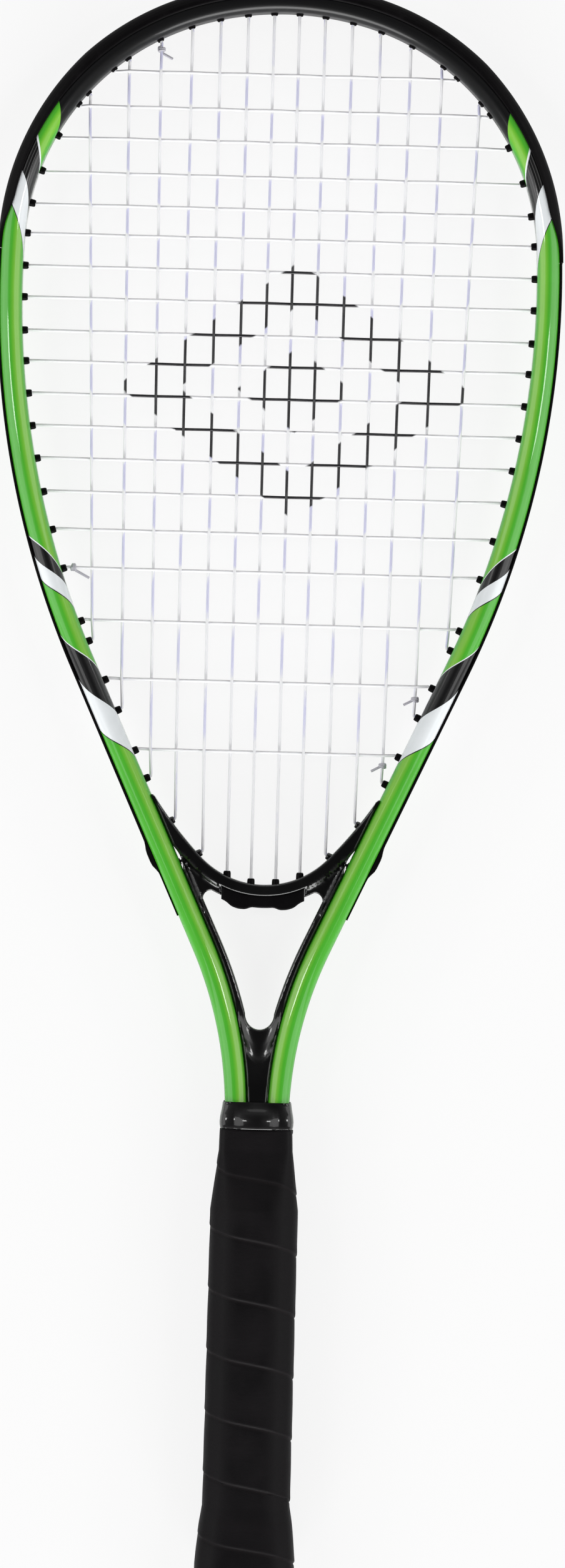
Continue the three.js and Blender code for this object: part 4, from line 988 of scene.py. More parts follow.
def strip_outline(s):
    """A channel with rounded lips that follow the tube's round edge as far as the lip turns."""
    top = TUBE_HALF + strip_proud_at(s)
    lip_turn = mix(LIP_TURN, LIP_END_TURN, ease((abs(s) - BUMPER_END + LIP_FADE) / LIP_FADE))
    steps = 6
    turns = np.linspace(0, lip_turn, steps + 1)
    inner = [[FACE_LEVEL * math.cos(t), FLAT_HALF + FACE_LEVEL * math.sin(t)] for t in turns]
    outer_high = FACE_LEVEL + LIP_WALL
    outer = [[top * math.cos(t), FLAT_HALF + outer_high * math.sin(t)] for t in turns[::-1]]
    half = [
        [STRIP_FOOT_LEVEL, GROOVE_HALF - TOUCH_GAP],
        [FACE_LEVEL, FLAT_HALF - TOUCH_GAP],
        *inner, *outer[:-1],
        [top, FLAT_HALF],
        [top, CHANNEL_HALF],
        [STRIP_FLOOR_LEVEL, CHANNEL_HALF],
    ]
    inner_radii = [LIP_EDGE] * (steps + 2)
    outer_radii = [LIP_EDGE] * (steps - 1)
    radii = [*inner_radii, LIP_RIM, LIP_RIM, *outer_radii, LIP_CORNER, LIP_CORNER, LIP_EDGE]
    mirrored = [[out, -height] for out, height in half[::-1]]
    return round_outline(half + mirrored, radii + radii[::-1], LIP_CORNER_STEPS)


SWELL_TOP = rail_at_height(BRIDGE_CREST + SWELL_TOP_RISE)
SWELL_FOOT = rail_at_height(BRIDGE_CREST + SWELL_FOOT_RISE)


def strip_proud_at(s):
    """How far the strips stand out of the tube: the bumper, then a side strip with its swelling."""
    s = abs(s)
    if s < BUMPER_END:
        fade = clamp((s / BUMPER_END - BUMPER_FADE_SHARE) / (1 - BUMPER_FADE_SHARE))
        return mix(BUMPER_PROUD, BUMPER_END_PROUD, fade * (2 - fade))
    low = mix(SIDE_PROUD, LOWER_PROUD, ease((s - SWELL_TOP) / (SWELL_FOOT - SWELL_TOP)))
    rise = ease((s - SWELL_TOP + SWELL_RAMP) / SWELL_RAMP)
    fall = ease((SWELL_FOOT + SWELL_RAMP - s) / SWELL_RAMP)
    return mix(low, SWELL_PROUD, min(rise, fall))


BARREL_SIDES = 20
BARREL_TIP_STEPS = 5
BARREL_TIP_LENGTH = 1 * MM
BARREL_ROOT_DEPTH = 1.2 * MM
BARREL_ROOT_SHARE = 1.06
BORE_MOUTH_SHARE = 0.95
BORE_FOOT_SHARE = 0.9
LEVEL_SHARE = 1e-6


def add_barrel(skin, root, tip, spread=0):
    """A moulded tube for a string, from its root to a rounded tip, and a little way back inside.

    Its upper and lower halves stand apart by the spread, and only its two level points stay.
    """
    run = tip - root
    length = np.linalg.norm(run)
    run = run / length
    across = np.cross(run, [0, 0, 1])
    across /= np.linalg.norm(across)
    round_length = min(BARREL_TIP_LENGTH, length / 2)
    stages = [(0, BARREL_RADIUS * BARREL_ROOT_SHARE)]
    for turn in quarter_turns(BARREL_TIP_STEPS):
        inset = BARREL_WALL * (1 - math.cos(turn))
        stages.append((length - round_length * (1 - math.sin(turn)), BARREL_RADIUS - inset))
    stages.append((length - BARREL_WALL / 2, BORE_RADIUS * BORE_MOUTH_SHARE))
    stages.append((length / 2, BORE_RADIUS * BORE_FOOT_SHARE))
    rings = []
    for distance, radius in stages:
        centre = root + run * distance
        ring = []
        for turn in np.linspace(0, 2 * math.pi, BARREL_SIDES, endpoint=False):
            lift = radius * math.cos(turn)
            slide = spread * np.sign(lift) if abs(lift) > radius * LEVEL_SHARE else 0
            ring.append(centre + across * radius * math.sin(turn) + np.array([0, 0, lift + slide]))
        rings.append(ring)
    skin.loft(rings)


def barrel_spread(port):
    return 0 if port.guest is None else PAIR_OFFSET


def make_strip(name, node, start, end):
    skin = Skin()
    skin.loft(rail_rings(rail_stations(start, end), strip_outline))
    for port in RAIL_PORTS:
        if start < port.at < end:
            tip_level = -FACE_LEVEL if port.kind == "slant" else port.tip
            root = port.spot(BARREL_ROOT_DEPTH - TUBE_HALF)
            add_barrel(skin, root, port.spot(tip_level), barrel_spread(port))
    finish_piece(skin.make(name, strip_black, MOULDED_SHARP), "black_plastic", node)


SEAM_GAP = TOUCH_GAP / 2
make_strip("bumper", "head_bumper", SEAM_GAP - BUMPER_END, BUMPER_END - SEAM_GAP)
make_strip("strip_left", "side_strip_left", -STRIP_END, -BUMPER_END - SEAM_GAP)
make_strip("strip_right", "side_strip_right", BUMPER_END + SEAM_GAP, STRIP_END)


# Throat piece

def arm_edge(level, from_height, to_height):
    start = rail_at_height(from_height, level)
    end = rail_at_height(to_height, level)
    return [rail_point(s, level)[:2] for s in rail_stations(start, end)]


def mirror_outline(points):
    return [np.array([-x, y]) for x, y in points][::-1]


def bridge_tip_height(thickness):
    level = -(FACE_LEVEL + thickness)

    def facing(s):
        spot = rail_point(s, level)
        return spot[1] - bridge_edge_height(spot[0])

    return rail_point(find_on_rail(facing, WIDEST, THROAT_START), level)[1]


def arm_inner(s):
    """An arm's inner edge beside the opening. The arm thickens from the bridge to the crotch."""
    share = clamp((BRIDGE_CREST - rail_point(s)[1]) / (BRIDGE_CREST - CROTCH_HEIGHT))
    return rail_point(s, -(FACE_LEVEL + mix(ARM_THICKNESS, ARM_FOOT_THICKNESS, share ** 2)))[:2]


def throat_outline():
    bond = TOUCH_GAP / 10
    face = -(TUBE_HALF + bond)
    slit_top = BRIDGE_CREST + SLIT_TOP_RISE
    slit_foot = BRIDGE_CREST + SLIT_FOOT_RISE
    steps = 24
    edge = [bridge_point(BRIDGE_TURN * i / steps) for i in range(steps + 1)]
    tip_height = bridge_tip_height(BRIDGE_TIP_THICKNESS)
    tip_level = face - BRIDGE_TIP_THICKNESS
    tip = rail_point(rail_at_height(tip_height, tip_level), tip_level)[:2]
    horn_xs = np.linspace(edge[-1][0], tip[0], steps)[1:-1]
    horn = [np.array([x, bridge_edge_height(x)]) for x in horn_xs]
    slit = []
    slit_from, slit_to = rail_at_height(slit_top, face), rail_at_height(slit_foot, face)
    for share in np.linspace(0, 1, steps)[1:-1]:
        width = SLIT_SHOWN_SHARE * SLIT_WIDTH * math.sin(share * math.pi)
        slit.append(rail_point(mix(slit_from, slit_to, share), face - width)[:2])
    right = [
        *edge, *horn, tip, *arm_edge(face, tip_height, slit_top), *slit,
        *arm_edge(face, slit_foot, HANDLE_TOP + YOKE_CLEARANCE),
    ]
    return right + mirror_outline(right[1:])


def throat_opening():
    """Runs under the bridge strip's seat, steps down to the web and rounds into arm and crotch."""
    steps = 12
    arch_turn = math.asin(ARCH_HALF_WIDTH / (BRIDGE_RADIUS + BRIDGE_THICKNESS))
    arch = [bridge_point(arch_turn * i / steps, BRIDGE_THICKNESS) for i in range(steps + 1)]

    def web_gap(s):
        spot = arm_inner(s)
        return spot[1] + WEB_CORNER_RADIUS - bridge_under_height(spot[0] - WEB_CORNER_RADIUS, WEB_THICKNESS)

    corner_at = find_on_rail(web_gap, rail_at_height(BRIDGE_CREST, -FACE_LEVEL), THROAT_START)
    foot_level = CROTCH_HEIGHT + CROTCH_DEPTH
    foot_at = find_on_rail(lambda s: arm_inner(s)[1] - foot_level, corner_at, RAIL_LENGTH)
    side = [arm_inner(s) for s in rail_stations(corner_at, foot_at)]
    corner = side[0]
    web_xs = np.linspace(ARCH_HALF_WIDTH, corner[0] - WEB_CORNER_RADIUS, steps)[:-1]
    web = [np.array([x, bridge_under_height(x, WEB_THICKNESS)]) for x in web_xs]
    rounded = []
    for turn in quarter_turns(steps)[:0:-1]:
        swing = np.array([math.cos(turn) - 1, math.sin(turn)])
        rounded.append(corner + WEB_CORNER_RADIUS * swing)
    low = side[-1]
    bowl = []
    for turn in quarter_turns(steps)[1:]:
        bowl.append(np.array([low[0] * math.cos(turn), low[1] - CROTCH_DEPTH * math.sin(turn)]))
    right = [*arch, *web, *rounded, *side, *bowl]
    return right + mirror_outline(right[1:-1])


THROAT_BEVEL = 0.9 * MM
THROAT_CELL = 1 * MM
WEB_RECESS = 1.8 * MM
WEB_SLOPE = 1.1 * MM
WEB_RIM = 1.8 * MM
WEB_FOOT_DROP = 14 * MM
WEB_FADE = 8 * MM
SCOOP_RECESS = 2.6 * MM
SCOOP_REACH = 3.6 * MM
SCOOP_FADE = 12 * MM
SCOOP_FOOT_DROP = 11.9 * MM
SCOOP_HALF_WIDTH = 6.9 * MM
TUBE_BESIDE_RISE = 60 * MM
TUBE_BESIDE_STEP = 0.5 * MM


def slice_mesh(mesh, cell):
    """Cuts a flat piece into cells, so that its faces can be shaped."""
    shell = bmesh.new()
    shell.from_mesh(mesh)
    flat = math.radians(0.05)
    nearly_on = cell / 1000
    bmesh.ops.dissolve_limit(shell, angle_limit=flat, verts=shell.verts, edges=shell.edges)
    places = np.array([vert.co for vert in shell.verts])
    for axis in (0, 1):
        normal = [0, 0, 0]
        normal[axis] = 1
        first = math.ceil(places[:, axis].min() / cell)
        last = math.floor(places[:, axis].max() / cell)
        for k in range(first, last + 1):
            spot = [0, 0, 0]
            spot[axis] = (k + 0.5) * cell
            geometry = [*shell.verts, *shell.edges, *shell.faces]
            bmesh.ops.bisect_plane(shell, geom=geometry, dist=nearly_on, plane_co=spot, plane_no=normal)
    shell.to_mesh(mesh)
    shell.free()


def below_edge(x, y):
    """How far a place lies below the bridge's string edge."""
    if abs(x) <= (BRIDGE_CENTRE - y) * math.tan(BRIDGE_TURN):
        return math.hypot(x, y - BRIDGE_CENTRE) - BRIDGE_RADIUS
    return np.linalg.norm((abs(x), y) - HORN_CENTRE) - HORN_RADIUS


BESIDE_STATIONS = rail_stations(STRIP_END - TUBE_BESIDE_RISE, RAIL_LENGTH, TUBE_BESIDE_STEP)
TUBE_BESIDE = np.array([rail_point(s)[:2] for s in BESIDE_STATIONS])


def throat_recess(x, y):
    """How far the front face lies back: in the webs, and in the scoop round the crotch."""
    from_tube = np.linalg.norm(TUBE_BESIDE - (abs(x), y), axis=1).min() - FACE_LEVEL
    below_band = ease((below_edge(x, y) - BRIDGE_THICKNESS) / WEB_SLOPE)
    above_arms = ease((y - BRIDGE_CREST + WEB_FOOT_DROP) / WEB_FADE)
    web = WEB_RECESS * below_band * above_arms * ease(from_tube / WEB_RIM)
    rise = y - CROTCH_HEIGHT + SCOOP_FOOT_DROP * (1 - (x / SCOOP_HALF_WIDTH) ** 2)
    above_crotch = ease((y - CROTCH_HEIGHT) / SCOOP_FADE)
    scoop = SCOOP_RECESS * (1 - math.exp(-max(rise, 0) / SCOOP_REACH)) * (1 - above_crotch)
    return max(web, scoop)


def make_throat_piece():
    outlines = [throat_outline(), throat_opening()]
    body = plate_object("throat", outlines, THROAT_DEPTH, THROAT_BEVEL, gloss_black)
    slice_mesh(body.data, THROAT_CELL)
    for vertex in body.data.vertices:
        x, y, z = vertex.co
        vertex.co.z = z * (1 - 2 * throat_recess(x, y) / THROAT_DEPTH)
    smooth_mesh(body.data)
    nubs = Skin()
    for port in SLANT_PORTS:
        root = port.spot(port.tip + BARREL_REACH + BRIDGE_THICKNESS / 2)
        add_barrel(nubs, root, port.spot(port.tip), barrel_spread(port))
    piece = join_meshes("throat", [body, nubs.make("throat_nubs", gloss_black, MOULDED_SHARP)])
    weighted = piece.modifiers.new("even_shading", "WEIGHTED_NORMAL")
    weighted.keep_sharp = True
    finish_piece(piece, "gloss_black", "throat_piece")


make_throat_piece()


# Bridge grommet strip

def strip_point(share, distance):
    half_turn = math.asin(BRIDGE_STRIP_HALF_WIDTH / (BRIDGE_RADIUS + distance))
    return bridge_point(share * half_turn, distance)


def make_bridge_strip():
    steps = 40
    shares = np.linspace(0, 1, steps + 1)
    swells = np.interp(shares, SWELL_TURN_SHARES, SWELL_HEIGHT_SHARES) * BRIDGE_SWELL
    beside = 2
    padded = np.concatenate([swells[:beside], swells, swells[-beside:]])
    width = 2 * beside + 1
    swells = np.convolve(padded, np.ones(width) / width, "valid")
    lower = []
    for share, swell in zip(shares, swells):
        lower.append(strip_point(share, STRIP_SEAT + BRIDGE_STRIP_THICKNESS + swell))
    upper = [strip_point(share, STRIP_SEAT - 2 * TOUCH_GAP) for share in shares][::-1]
    outline = mirror_outline(lower[1:]) + lower + upper[:-1] + mirror_outline(upper)
    body = plate_object("bridge_grommets", [outline], BRIDGE_STRIP_DEPTH, BRIDGE_STRIP_BEVEL, strip_black)
    barrels = Skin()
    for port in BRIDGE_PORTS:
        add_barrel(barrels, port.spot(-bridge_under_height(port.at, STRIP_SEAT)), port.spot(port.tip))
    barrel_object = barrels.make("bridge_barrels", strip_black, MOULDED_SHARP)
    finish_piece(join_meshes("bridge_grommets", [body, barrel_object]), "black_plastic", "bridge_strip")


make_bridge_strip()


# Strings

WEAVE_HEIGHT = STRING_RADIUS
BED_STEPS = 8
LOOP_STEP = 2.5 * MM
BEND_REACH = 1.1 * MM
STRING_SIDES = 10


def rail_loop(start, end, lane):
    reach = end.at - start.at
    shift = math.copysign(min(LANE_SHIFT, abs(reach) * LANE_SHIFT_SHARE), reach)
    low, high = start.at + shift, end.at - shift
    count = max(1, round(abs(high - low) / LOOP_STEP))
    return [rail_point(mix(low, high, i / count), LANE_LEVEL, lane) for i in range(count + 1)]


def tie_loop(start, end, lane):
    """The way from a run's end to the port it is tied at, with a shift to the guest's height."""
    way = math.copysign(1, end.at - start.at)
    near = end.at - way * LANE_SHIFT
    beside = rail_point(near, LANE_LEVEL, lane)
    kept = [point for point in rail_loop(start, end, lane) if np.linalg.norm(point - beside) > TIE_SHIFT]
    turn_off = rail_point(near - way * TIE_SHIFT, LANE_LEVEL, lane)
    return [*kept, turn_off, rail_point(near, LANE_LEVEL, end.guest)]


def link_loop(start, end, lane):
    """The way from one run's last port to the next run's first: under the bridge or round the rail."""
    if start.kind != "bridge":
        return rail_loop(start, end, lane)
    middle = (start.at + end.at) / 2
    return [np.array([middle, bridge_under_height(middle, BRIDGE_LANE), 0])]


def row_crosses(main, row):
    side, top, foot = (port.spot(port.tip) for port in (ROW_ENDS[row][1], MAIN_TOPS[main], MAIN_FEET[main]))
    height = ROW_HEIGHTS[row]
    return abs(main_x(main, height)) < side[0] and foot[1] < height < top[1]


def crossing(main, row, side):
    """Where a main and a row cross: the place of the main for side one, of the row for minus one."""
    height = ROW_HEIGHTS[row]
    over = 1 if (main + row) % 2 == 0 else -1
    return np.array([main_x(main, height), height, side * over * WEAVE_HEIGHT])


def main_crossings(main):
    return [crossing(main, row, 1) for row in range(ROW_COUNT) if row_crosses(main, row)]


def row_crossings(row):
    return [crossing(main, row, -1) for main in range(MAIN_COUNT) if row_crosses(main, row)]


def bed_run(start, hits, end):
    """The run across the bed: its height eases from one crossing to the next."""
    points = [start, *hits, end]
    run = []
    for near, far in zip(points, points[1:]):
        for i in range(BED_STEPS):
            share = i / BED_STEPS
            point = mix(near, far, share)
            point[2] = mix(near[2], far[2], ease(share))
            run.append(point)
    run.append(np.array(end, float))
    return run


def weave_path(line_ends, crossings, forward, ties, lane):
    """One unbroken string: its tied start, its runs across the bed with their links, its tied end.

    Every second line runs forward, from its first end to its second. forward is for the first line.
    """
    first_tie, last_tie = ties
    start = line_ends[0][0 if forward else 1]
    path = [*first_tie.way(first_tie.guest), *tie_loop(start, first_tie, lane)[::-1]]
    for line, ends in enumerate(line_ends):
        start, end = ends if forward else ends[::-1]
        hits = crossings(line) if forward else crossings(line)[::-1]
        start_lane, start_tip = start.way(start.own)[::-1]
        end_tip, end_lane = end.way(end.own)
        path += [start_lane, *bed_run(start_tip, hits, end_tip), end_lane]
        if line + 1 < len(line_ends):
            path += link_loop(end, line_ends[line + 1][1 if forward else 0], lane)
        forward = not forward
    return [*path, *tie_loop(end, last_tie, lane), *last_tie.way(last_tie.guest)[::-1]]


SHARP_TURN = math.radians(12)
LEAST_STEP = 0.05 * MM


def bend_path(points):
    """Rounds only the corners that turn sharply, and keeps the rest as it is."""
    points = [np.asarray(point, float) for point in points]
    path = [points[0]]
    for before, corner, after in zip(points, points[1:], points[2:]):
        into, away = corner - before, after - corner
        size = np.linalg.norm(into) * np.linalg.norm(away)
        if size == 0:
            continue
        if math.acos(clamp(float(into @ away) / size, -1, 1)) < SHARP_TURN:
            path.append(corner)
        else:
            path += corner_curve(before, corner, after, BEND_REACH)
    path.append(points[-1])
    kept = [path[0]]
    for point in path[1:]:
        if np.linalg.norm(point - kept[-1]) > LEAST_STEP:
            kept.append(point)
    return kept


def make_string(name, node, points, material):
    rings = tube_rings(bend_path(points), STRING_RADIUS, STRING_SIDES)
    loft_piece(name, node, rings, material, "string_white", STRING_SHARP)


MAIN_ENDS = list(zip(MAIN_TOPS, MAIN_FEET))
MAIN_TIES = (FIRST_MAIN_TIE, LAST_MAIN_TIE)
ROW_TIES = (FIRST_ROW_TIE, LAST_ROW_TIE)
main_path = weave_path(MAIN_ENDS, main_crossings, False, MAIN_TIES, -LANE_OFFSET)
cross_path = weave_path(ROW_ENDS, row_crossings, True, ROW_TIES, LANE_OFFSET)
make_string("mains", "main_string", main_path, main_white)
make_string("crosses", "cross_string", cross_path, cross_white)


# Knots: the tied end goes twice round its neighbour, and its tail sticks out

KNOT_TURNS = 2.3
KNOT_STEPS = 59
KNOT_STRIDE = 3
KNOT_LENGTH = 2.4 * MM
KNOT_STANDOFF = 0.4 * MM
KNOT_RADIUS = 1.6 * MM
TAIL_LENGTH = 6 * MM
TAIL_TILT = math.radians(28)
TAIL_SHARES = (0.3, 0.55, 0.8, 1)
TAIL_LIFT = 0.25 * MM
TAIL_WAVE = 3
TAIL_BEND_REACH = 0.6 * MM
TAIL_BEND_STEPS = 2
TAIL_SLIM_SHARE = 0.92
PRESSED_SHARE = 0.9
PRESSED_RADIUS = STRING_RADIUS * PRESSED_SHARE


def make_knot(name, node, port, toward, tail_side):
    start = port.way(port.own)[0]
    along = toward - start
    along /= np.linalg.norm(along)
    inward = -rail_frame(port.at)[1]
    slant = math.acos(clamp(float(along @ inward), -1, 1))
    first = start + along * ((KNOT_STANDOFF + KNOT_RADIUS * math.sin(slant)) / math.cos(slant))
    across = np.cross(along, [0, 0, 1])
    across /= np.linalg.norm(across)
    up = np.cross(across, along)
    wind = KNOT_RADIUS - PRESSED_RADIUS
    span = KNOT_LENGTH - 2 * PRESSED_RADIUS
    path = []
    for i, turn in enumerate(np.linspace(0, KNOT_TURNS * 2 * math.pi, KNOT_STEPS + 1)):
        lift = PRESSED_RADIUS + span * i / KNOT_STEPS
        path.append(first + along * lift + wind * (math.cos(turn) * up + math.sin(turn) * across))
    out = np.array([tail_side * math.cos(TAIL_TILT), -math.sin(TAIL_TILT), 0])
    points = path[::KNOT_STRIDE]
    for share in TAIL_SHARES:
        wave = np.array([0, 0, TAIL_LIFT * math.sin(share * TAIL_WAVE)])
        points.append(path[-1] + out * TAIL_LENGTH * share + wave)
    bent = [points[0]]
    for before, corner, after in zip(points, points[1:], points[2:]):
        bent += corner_curve(before, corner, after, TAIL_BEND_REACH, TAIL_BEND_STEPS)
    rings = tube_rings([*bent, points[-1]], STRING_RADIUS * TAIL_SLIM_SHARE, STRING_SIDES)
    loft_piece(name, node, rings, knot_grey, "string_white", STRING_SHARP)


make_knot("tie_left", "knot_main_left", FIRST_MAIN_TIE, crossing(0, MAIN_TIE_ROW, -1), 1)
make_knot("tie_right", "knot_main_right", LAST_MAIN_TIE, main_crossings(LAST_MAIN - 1)[-1], -1)
make_knot("tie_top", "knot_cross_top", FIRST_ROW_TIE, main_crossings(ROW_TIE_MAIN)[0], 1)
make_knot("tie_bottom", "knot_cross_bottom", LAST_ROW_TIE, main_crossings(LAST_MAIN - 2)[-1], -1)


# Handle, cap, grip and collar

COLLAR_END = rail_at_height(COLLAR_TOP)
HANDLE_HALF_X = SHANK_SPACING / 2 + TUBE_HALF + TOUCH_GAP + HANDLE_SIDE_WALL
HANDLE_HALF_Z = TUBE_DEPTH / 2 + TOUCH_GAP + HANDLE_FACE_WALL
SHANK_HALF_X = float(rail_point(COLLAR_END, TUBE_HALF)[0])
SHANK_HALF_Z = TUBE_DEPTH / 2
TOP_BEVEL = TUBE_WIDTH * (1 - math.sqrt(0.5))
CAP_INSIDE = TOUCH_GAP - CAP_SEAT_INSET
CAP_MOUTH = CAP_INSIDE + CAP_MOUTH_WALL
CAP_FLARE = CAP_INSIDE + CAP_FLARE_WALL
SIDE_STEPS = 16
CORNERS = 8


def octagon(half_x, half_z, bevel_x, bevel_z):
    flat_x, flat_z = half_x - bevel_x, half_z - bevel_z
    side = np.array([[half_x, -flat_z], [half_x, flat_z], [flat_x, half_z], [-flat_x, half_z]])
    return np.concatenate([side, -side])


def handle_octagon(height, grow):
    share = clamp((height - HANDLE_SHOULDER) / (GRIP_SHOULDER - HANDLE_SHOULDER))
    return octagon(
        mix(HANDLE_HALF_X, SHANK_HALF_X, share) + grow,
        mix(HANDLE_HALF_Z, SHANK_HALF_Z, share) + grow,
        mix(HANDLE_BEVEL_X, TOP_BEVEL, share),
        mix(HANDLE_BEVEL_Z, TOP_BEVEL, share),
    )


def soft_octagon(corners, soft_share):
    """The octagon as a ring of points, its corners rounded over that share of each side."""
    ring = []
    for i in range(CORNERS):
        near, far = corners[i], corners[(i + 1) % CORNERS]
        ring.extend(mix(near, far, k / SIDE_STEPS) for k in range(SIDE_STEPS))
    ring = np.array(ring)
    width = max(1, round(soft_share * SIDE_STEPS / 2))
    shifts = range(-width, width + 1)
    return sum(np.roll(ring, shift, axis=0) for shift in shifts) / (2 * width + 1)


def height_ring(ring, height):
    return [[x, height, z] for x, z in ring]


def octagon_ring(corners, soft_share, height):
    return height_ring(soft_octagon(corners, soft_share), height)


def cap_grow(height):
    share = clamp((height - CAP_FLARE_HEIGHT) / (CAP_HEIGHT - CAP_FLARE_HEIGHT))
    return mix(CAP_FLARE, CAP_MOUTH, share ** CAP_FLARE_BEND)


def grip_inside(height):
    past = clamp((height - CAP_HEIGHT) / GRIP_STEP_LENGTH)
    over = cap_grow(height) if height <= CAP_HEIGHT else mix(CAP_MOUTH, 0, past)
    return handle_octagon(height, over + TOUCH_GAP)


def grown(corners, distance):
    return corners + distance * np.sign(corners)


def grip_outside(height):
    share = clamp((height - HANDLE_SHOULDER) / (GRIP_TOP_HEIGHT - HANDLE_SHOULDER))
    return grown(grip_inside(height), mix(GRIP_THICKNESS, GRIP_TOP_THICKNESS, share))


GRIP_ROW_STEP = 0.5 * MM
SEAM_RISE = 0.3 * MM
SEAM_CUT = 0.45 * MM
SEAM_HALF = 0.6 * MM
LIP_LENGTH = 3 * MM
BELOW_LIP_SHARE = 0.35
GRIP_SOFT_SHARE = 0.5
GRIP_INSIDE_SOFT_SHARE = 0.2
GRIP_TOP_ROUND_SHARE = 0.3
GRIP_TUCK_SHARE = 0.6
GRIP_WAVE = 0.1 * MM


def grip_relief(height, corner_share):
    """How far the wound tape stands out from the plain sleeve, and how deep in a seam it is."""
    phase = ((height - SEAM_START) / SEAM_PITCH - corner_share) % 1
    above = phase * SEAM_PITCH
    below = (1 - phase) * SEAM_PITCH
    near = min(above, below)
    cut = math.exp(-((near / SEAM_HALF) ** 2))
    lip = math.exp(-above / LIP_LENGTH) - BELOW_LIP_SHARE * math.exp(-below / LIP_LENGTH)
    belly = math.sin(phase * math.pi) ** 2
    return SEAM_RISE * lip * (1 - cut) + GRIP_WAVE * belly - SEAM_CUT * cut, cut


def make_grip():
    rounding = GRIP_THICKNESS / 2
    count = CORNERS * SIDE_STEPS
    rings, seams = [], []
    for height in rail_stations(GRIP_FOOT_HEIGHT, GRIP_TOP_HEIGHT, GRIP_ROW_STEP):
        ring = soft_octagon(grip_outside(height), GRIP_SOFT_SHARE)
        out = ring / np.linalg.norm(ring, axis=1)[:, None]
        from_foot = clamp((height - GRIP_FOOT_HEIGHT) / rounding)
        from_top = clamp((GRIP_TOP_HEIGHT - height) / (rounding * GRIP_TOP_ROUND_SHARE))
        edge = min(from_foot, from_top)
        tuck = rounding * (1 - math.sqrt(1 - (1 - edge) ** 2)) * GRIP_TUCK_SHARE
        reliefs = [grip_relief(height, i / count) for i in range(count)]
        lift = np.array([relief for relief, _ in reliefs]) * edge - tuck - SEAM_RISE / 2
        rings.append(height_ring(ring + out * lift[:, None], height))
        seams.append([cut for _, cut in reliefs])
    for height in (GRIP_TOP_HEIGHT, GRIP_FOOT_HEIGHT):
        rings.append(octagon_ring(grip_inside(height), GRIP_INSIDE_SOFT_SHARE, height))
        seams.append([0] * count)
    loft_piece("grip", "grip_wrap", rings, grip_black, "grip_black", GRIP_SHARP, caps=False, seam=seams)


CAP_SOFT_SHARE = 0.35
DISH_SOFT_SHARE = 0.8
DISH_INSET = 6 * MM
DISH_RIM_INSET = 4.4 * MM
DISH_SLOPE = 0.4 * MM
DISH_DEPTH = 0.5 * MM


def make_cap():
    """A dished end face, a rounded edge, the flared side, and the inside up from its floor."""
    steps = 6
    stages = []
    for turn in quarter_turns(steps):
        height = CAP_EDGE_ROUND * (1 - math.cos(turn))
        stages.append((height, CAP_FLARE - CAP_EDGE_ROUND * (1 - math.sin(turn))))
    stages += [(height, cap_grow(height)) for height in np.linspace(CAP_FLARE_HEIGHT, CAP_HEIGHT, steps)]
    stages += [(CAP_HEIGHT, CAP_INSIDE), (CAP_FLOOR, CAP_INSIDE)]
    rings = []
    for depth, inset in (
        (DISH_DEPTH, DISH_INSET), (DISH_DEPTH, DISH_RIM_INSET + DISH_SLOPE), (0, DISH_RIM_INSET),
    ):
        rings.append(octagon_ring(handle_octagon(0, stages[0][1] - inset), DISH_SOFT_SHARE, depth))
    for height, grow in stages:
        rings.append(octagon_ring(handle_octagon(height, grow), CAP_SOFT_SHARE, height))
    loft_piece("cap", "butt_cap", rings, strip_black, "black_plastic", MOULDED_SHARP)


# The collar's wall from its foot to its top: each share of the length with its share of the wall
COLLAR_WALL_SHARES = (
    (-0.03, 0.9), (0, 1.05), (0.1, 1.2), (0.24, 1.24), (0.4, 1.12),
    (0.56, 0.88), (0.72, 0.62), (0.86, 0.46), (0.95, 0.36), (1, 0.16),
)
COLLAR_CROWN_SHARE = 0.24
COLLAR_FALL_SHARE = 0.4
COLLAR_SOFT_SHARE = 0.9
COLLAR_INSIDE_SOFT_SHARE = 0.1


def make_collar():
    """A soft octagon that swells to an oval at the front and back, where the oval is the wider."""
    inner = handle_octagon(COLLAR_FOOT, TOUCH_GAP)
    rings = []
    for share, wall_share in COLLAR_WALL_SHARES:
        ring = soft_octagon(grown(inner, wall_share * COLLAR_WALL), COLLAR_SOFT_SHARE)
        half = ring.max(axis=0)
        turns = np.arctan2(ring[:, 1] / half[1], ring[:, 0] / half[0])
        crown = 1 + COLLAR_CROWN_SHARE * (1 - ease((share - COLLAR_FALL_SHARE) / (1 - COLLAR_FALL_SHARE)))
        oval = np.stack([half[0] * np.cos(turns), crown * half[1] * np.sin(turns)], axis=1)
        wider = np.linalg.norm(oval, axis=1) > np.linalg.norm(ring, axis=1)
        height = mix(COLLAR_FOOT, COLLAR_TOP, share)
        rings.append(height_ring(np.where(wider[:, None], oval, ring), height))
    for height in (COLLAR_TOP, COLLAR_FOOT):
        rings.append(octagon_ring(inner, COLLAR_INSIDE_SOFT_SHARE, height))
    rings.append(rings[0])
    loft_piece("collar", "grip_collar", rings, collar_rubber, "collar_rubber", caps=False)


make_grip()
make_cap()
make_collar()

for node, material in (
    ("handle_half_front", handle_foam), ("handle_half_back", handle_foam),
    ("butt_staple_front", staple_steel), ("butt_staple_back", staple_steel),
):
    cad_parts[node].material_slots[0].material = material


# Floor, light and camera

FLOOR_HALF = 4.0
FLOOR_DROP = 0.2 * MM
SHADOW_SHARE = 0.17
CEILING_STRENGTH = 0.04
HORIZON_STRENGTH = 0.35
RACKET_MIDDLE = (0, 0.3, 0)
HEAD_MIDDLE = (0, 0.47, 0)

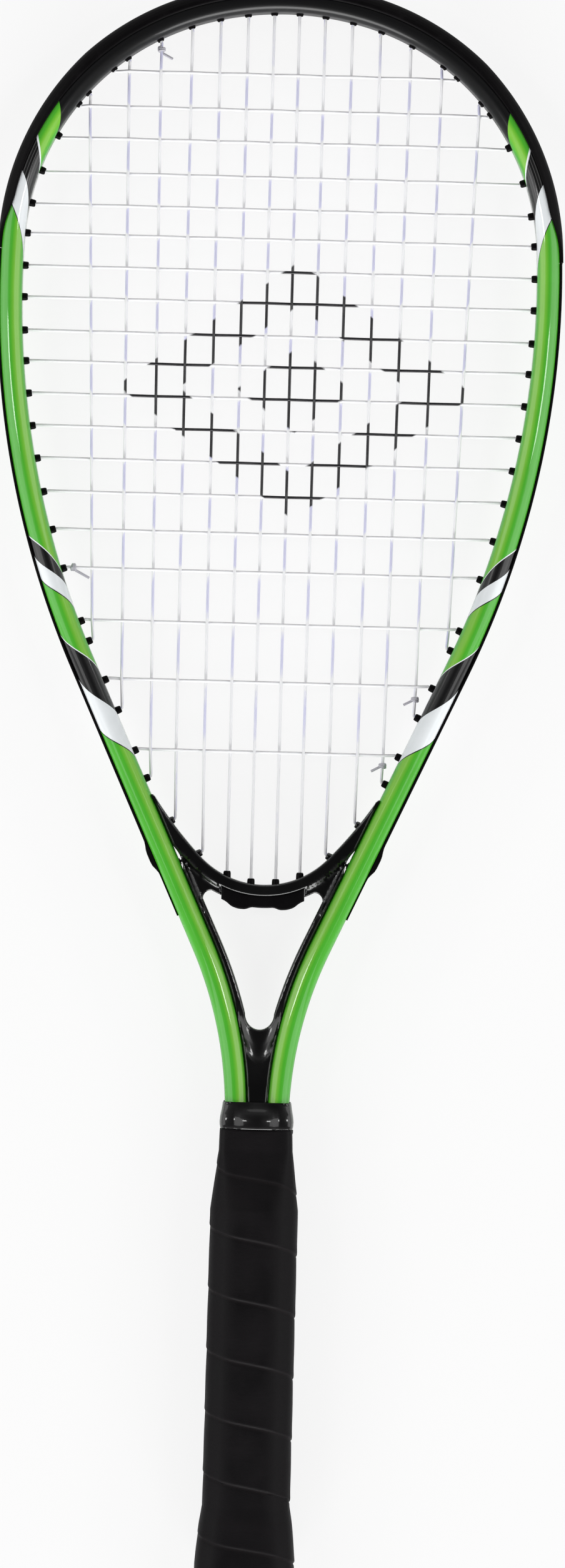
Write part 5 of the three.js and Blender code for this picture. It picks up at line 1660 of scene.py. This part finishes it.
# Lamps: name, place, what each one points at, width, length and power. A side lamp has a twin.
SIDE_LAMPS = (
    ("panel", (2.6, 0.3, 1.2), RACKET_MIDDLE, 2.0, 3.4, 30),
    ("strip", (0.87, 0.47, 1.4), HEAD_MIDDLE, 0.17, 0.3, 2.0),
    ("head_lamp", (2.0, 1.6, 1.2), RACKET_MIDDLE, 0.4, 0.3, 6),
)
END_LAMPS = (
    ("foot_panel", (0, -4.0, 1.3), RACKET_MIDDLE, 5.0, 2.0, 225),
    ("head_panel", (0, 4.6, 1.3), RACKET_MIDDLE, 5.0, 2.0, 20),
)

CAMERA_PLACE = (6.2 * MM, 300.5 * MM, 2.5)
CAMERA_ROLL = math.radians(1.59)
CAMERA_LENS = 153.2
SENSOR_HEIGHT = 36


def make_floor():
    low = cad_box[0][2] - FLOOR_DROP
    mesh = bpy.data.meshes.new("floor")
    corners = [(x * FLOOR_HALF, y * FLOOR_HALF, low) for x, y in ((-1, -1), (1, -1), (1, 1), (-1, 1))]
    mesh.from_pydata(corners, [], [(0, 1, 2, 3)])
    look = Look("floor_white", Base_Color=FLOOR_WHITE, Roughness=0.9)
    glow = look.output("Emission", "Emission", Color=(1, 1, 1), Strength=1.0)
    share = look.math("MULTIPLY", look.output("Is Camera Ray", "LightPath"), 1 - SHADOW_SHARE)
    both = look.node("MixShader", Fac=share)
    look.put(both.inputs[1], look.surface.outputs["BSDF"])
    look.put(both.inputs[2], glow)
    look.put(look.tree.nodes["Material Output"].inputs["Surface"], both.outputs["Shader"])
    floor = new_object("floor", mesh, look.material)


def add_lamp(name, place, target, width, length, power):
    data = bpy.data.lights.new(name, "AREA")
    data.shape = "RECTANGLE"
    data.size = width
    data.size_y = length
    data.energy = power
    lamp = add_object(name, data)
    lamp.location = place
    aim = Vector(target) - Vector(place)
    lamp.rotation_euler = aim.to_track_quat("-Z", "Y").to_euler()


def make_world():
    """A dim ceiling and a paler horizon."""
    world = bpy.data.worlds.new("studio")
    bpy.context.scene.world = world
    world.use_nodes = True
    nodes = Nodes(world.node_tree)
    background = nodes.tree.nodes["Background"]
    _, _, up = nodes.split(nodes.output("Generated", "TexCoord"))
    nodes.put(background.inputs["Strength"], nodes.spread(up, 0.0, 1.0, HORIZON_STRENGTH, CEILING_STRENGTH))
    nodes.put(background.inputs["Color"], (1, 1, 1))


def make_lights():
    """Broad dim panels all round, two short strips beside the head and two small lamps past it."""
    for side_name, side in (("left", -1), ("right", 1)):
        for name, (x, y, z), target, width, length, power in SIDE_LAMPS:
            add_lamp(f"{side_name}_{name}", (side * x, y, z), target, width, length, power)
    for lamp in END_LAMPS:
        add_lamp(*lamp)


def make_camera():
    data = bpy.data.cameras.new("camera")
    data.sensor_fit = "VERTICAL"
    data.sensor_height = SENSOR_HEIGHT
    data.lens = CAMERA_LENS
    camera = add_object("camera", data)
    camera.location = CAMERA_PLACE
    camera.rotation_euler = (0, 0, CAMERA_ROLL)
    bpy.context.scene.camera = camera


make_floor()
make_world()
make_lights()
make_camera()
bpy.context.scene.view_settings.view_transform = "Standard"
